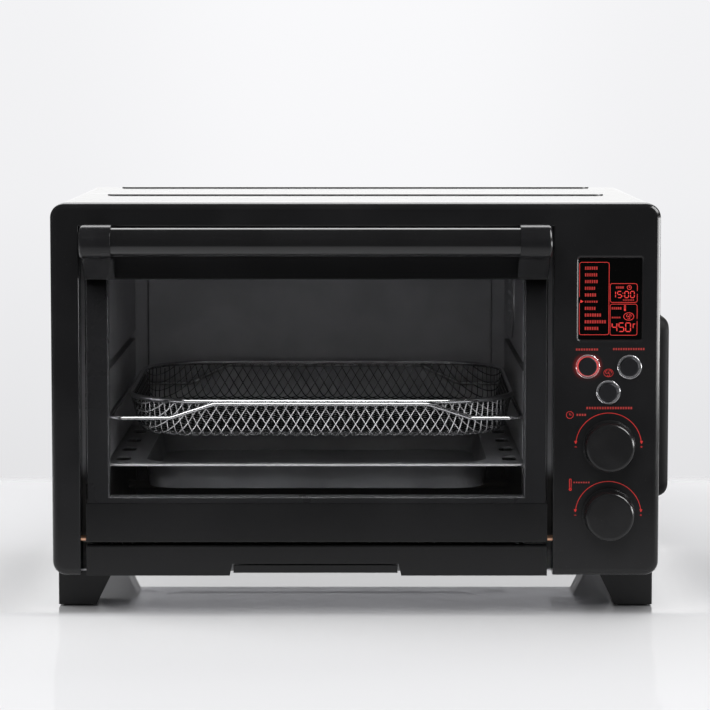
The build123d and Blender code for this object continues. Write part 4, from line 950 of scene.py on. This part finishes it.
def panel_prints():
    """Red marks printed on the control panel, placed from the middle of the upper knob."""
    face_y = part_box("front_bezel")[0].y
    time, heat = middle("time_knob"), middle("temperature_knob")
    marks = Marks(time.x, time.z, face_y, PRINT_HEIGHT)
    labels = Marks(time.x, time.z, face_y, PRINT_HEIGHT)
    turn_arrow(marks, 0)
    turn_arrow(marks, (heat.z - time.z) / MM)
    marks.clock(-30.1, 23.9, 2.7, 0.42)
    labels.words(-24.9, -17.6, 24.0, 1.6, letter=1.1, gap=0.7)
    labels.words(-17.3, 17.9, 29.3, 1.8, letter=1.2, gap=0.75)
    marks.thermometer(-29.4, -35.3, -25.9, 0.5)
    labels.words(-27.0, -14.6, -28.6, 1.1, letter=1.0, gap=0.8)
    marks.fan(-0.5, 56.5, 2.6, 0.38)
    marks.oval(-0.5, 56.5, 3.0, 1.2, 0.3)
    labels.words(-25.7, -8.7, 74.65, 1.6, letter=1.2, gap=0.75)
    labels.words(2.9, 27.1, 75.0, 1.6, letter=1.2, gap=0.75)
    mesh_piece("panel_labels", labels.mesh, dim_print_painted_glow, "case")
    mesh_piece("panel_prints", marks.mesh, print_red_painted_glow, "case")


panel_prints()


# ---------------------------------------------------------------- trims and light of the buttons
# Points of (radius, height in front of the panel) in millimetres: inner lip, groove, round outer rim.
RING_SECTION = ((7.5, -2.0), (7.5, 0.62), (7.6, 0.78), (7.75, 0.84), (7.9, 0.78), (8.0, 0.6), (8.12, 0.05),
                (8.45, 0.05), (8.7, 1.2), (8.78, 1.42), (8.9, 1.55), (9.02, 1.6), (9.16, 1.55), (9.26, 1.42),
                (9.3, 1.25), (9.3, -2.0))
RING_STEPS = 96
LIGHT_RADIUS = 7.38 * MM
LIGHT_WIDTH = 0.22 * MM
LIGHT_DEPTH = 2.0 * MM


def turned(mesh, centre, section):
    """Turns a closed section of (radius, height) in millimetres round a centre on the panel's face."""
    turns = []
    for step in range(RING_STEPS):
        angle = 2 * math.pi * step / RING_STEPS
        outward = Vector((math.cos(angle), 0, math.sin(angle))) * MM
        forward = Vector((0, -MM, 0))
        turns.append([mesh.verts.new(centre + outward * radius + forward * height)
                      for radius, height in section])
    for here, there in zip(turns, turns[1:] + turns[:1]):
        for index in range(len(section)):
            after = (index + 1) % len(section)
            mesh.faces.new((here[index], here[after], there[after], there[index]))


def button_trims():
    """Chrome rings round the buttons: a round outer rim, a groove and a thin inner lip."""
    mesh = bmesh.new()
    for name in BUTTONS:
        centre = middle(name)
        centre.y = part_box("front_bezel")[0].y
        turned(mesh, centre, RING_SECTION)
    piece = mesh_piece("button_trims", mesh, FINISHES["ring_chrome"], "case")
    smooth(piece)
    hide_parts("button_rings")


def lit_ring():
    """Thin red light in the gap round the left button, half of it in front of the panel's face."""
    centre = middle("button_left")
    front_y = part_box("front_bezel")[0].y - LIGHT_DEPTH / 2
    mesh = bmesh.new()
    path = circle((centre.x, centre.z), LIGHT_RADIUS, 48)
    band(mesh, path, LIGHT_WIDTH, front_y, LIGHT_DEPTH, closed=True)
    mesh_piece("button_light", mesh, lit_red, "case")


button_trims()
lit_ring()


# ---------------------------------------------------------------- basket of crossed wires
RIM_RADIUS = 2 * MM
CELL_WIDTH = 7.82 * MM
CELL_LENGTH = 13.2 * MM
WALL_LEAN = math.radians(14)
FLOOR_ROUND = 7 * MM
CORNER_RADIUS = 58 * MM
WALL_DEPTH = 29 * MM
# Radii of the wires in the outer and in the inner layer.
OUTER_WIRE = 0.50 * MM
INNER_WIRE = 0.36 * MM


def add_wire(data, points, thickness):
    """Adds one wire through the points; thickness is a share of the curve's own."""
    spline = data.splines.new("POLY")
    spline.points.add(len(points) - 1)
    spline.points.foreach_set("co", [number for point in points for number in (*point, 1)])
    spline.points.foreach_set("radius", [thickness] * len(points))


def basket_wires():
    """One sheet of crossed wires pressed into a tray that hangs, tipped forwards, from its rim."""
    rim_low, rim_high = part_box("basket_rim")
    front = Vector((0, rim_low.y + RIM_RADIUS, rim_low.z + RIM_RADIUS))
    back = Vector((0, rim_high.y - RIM_RADIUS, rim_high.z - RIM_RADIUS))
    along = (back - front).normalized()
    upright = Vector((0, -along.z, along.y))
    length = (back - front).length
    half_rim = (rim_high.x - rim_low.x) / 2 - RIM_RADIUS
    centre = front + along * length / 2 + Vector(((rim_low.x + rim_high.x) / 2, 0, 0))
    turn = math.pi / 2 - WALL_LEAN
    arc_out, arc_up = FLOOR_ROUND * math.sin(turn), FLOOR_ROUND * (1 - math.cos(turn))
    straight = (WALL_DEPTH - arc_up) / math.cos(WALL_LEAN)
    inset = arc_out + (WALL_DEPTH - arc_up) * math.tan(WALL_LEAN)
    half_x, half_y = half_rim - inset, length / 2 - inset
    corner = CORNER_RADIUS - inset
    reach = FLOOR_ROUND * turn + straight

    def beyond(u, v):
        """How far a point of the flat sheet lies outside the floor, and the way out."""
        dx, dy = abs(u) - (half_x - corner), abs(v) - (half_y - corner)
        if dx > 0 and dy > 0:
            gap = math.hypot(dx, dy)
            return gap - corner, math.copysign(dx / gap, u), math.copysign(dy / gap, v)
        if dx > dy:
            return dx - corner, math.copysign(1, u), 0
        return dy - corner, 0, math.copysign(1, v)

    def pressed(u, v, outward):
        """Where a point of the flat sheet ends up in the pressed basket; outward is the layer's side."""
        out, way_x, way_y = beyond(u, v)
        bend = min(max(out, 0) / FLOOR_ROUND, turn)
        climb = max(0, out - FLOOR_ROUND * turn)
        push = out if out <= 0 else FLOOR_ROUND * math.sin(bend) + climb * math.cos(turn)
        lift = FLOOR_ROUND * (1 - math.cos(bend)) + climb * math.sin(turn)
        push += outward * math.sin(bend) - out
        lift -= outward * math.cos(bend) + WALL_DEPTH - OUTER_WIRE
        return centre + Vector((u + way_x * push, 0, 0)) + along * (v + way_y * push) + upright * lift

    span_x, span_y = half_x + reach, half_y + reach
    step = CELL_LENGTH / 4
    rows = int(2 * span_y / step)
    slope = CELL_WIDTH / CELL_LENGTH
    first = -int((span_x + 2 * span_y * slope) / CELL_WIDTH)

    def layer(way, outward):
        """Each wire of one layer, as the points that lie on the sheet."""
        for line in range(first, -first + 1):
            run = []
            for row in range(rows + 1):
                v = -span_y + row * step
                u = line * CELL_WIDTH + way * (v + span_y) * slope
                inside = abs(u) < span_x and beyond(u, v)[0] <= reach
                if inside:
                    run.append(pressed(u, v, outward))
                if run and (not inside or row == rows):
                    if len(run) > 1:
                        yield run
                    run = []

    data = bpy.data.curves.new("basket_wires", "CURVE")
    data.dimensions = "3D"
    data.bevel_depth = OUTER_WIRE
    data.bevel_resolution = 1
    data.use_fill_caps = True
    for way, outward, radius in ((-1, 0.5 * OUTER_WIRE, OUTER_WIRE), (1, -0.5 * OUTER_WIRE, INNER_WIRE)):
        for run in layer(way, outward):
            add_wire(data, run, radius / OUTER_WIRE)
    piece = place_piece("basket_wires", data, mesh_wire, "rack")
    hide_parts("basket_mesh")


basket_wires()
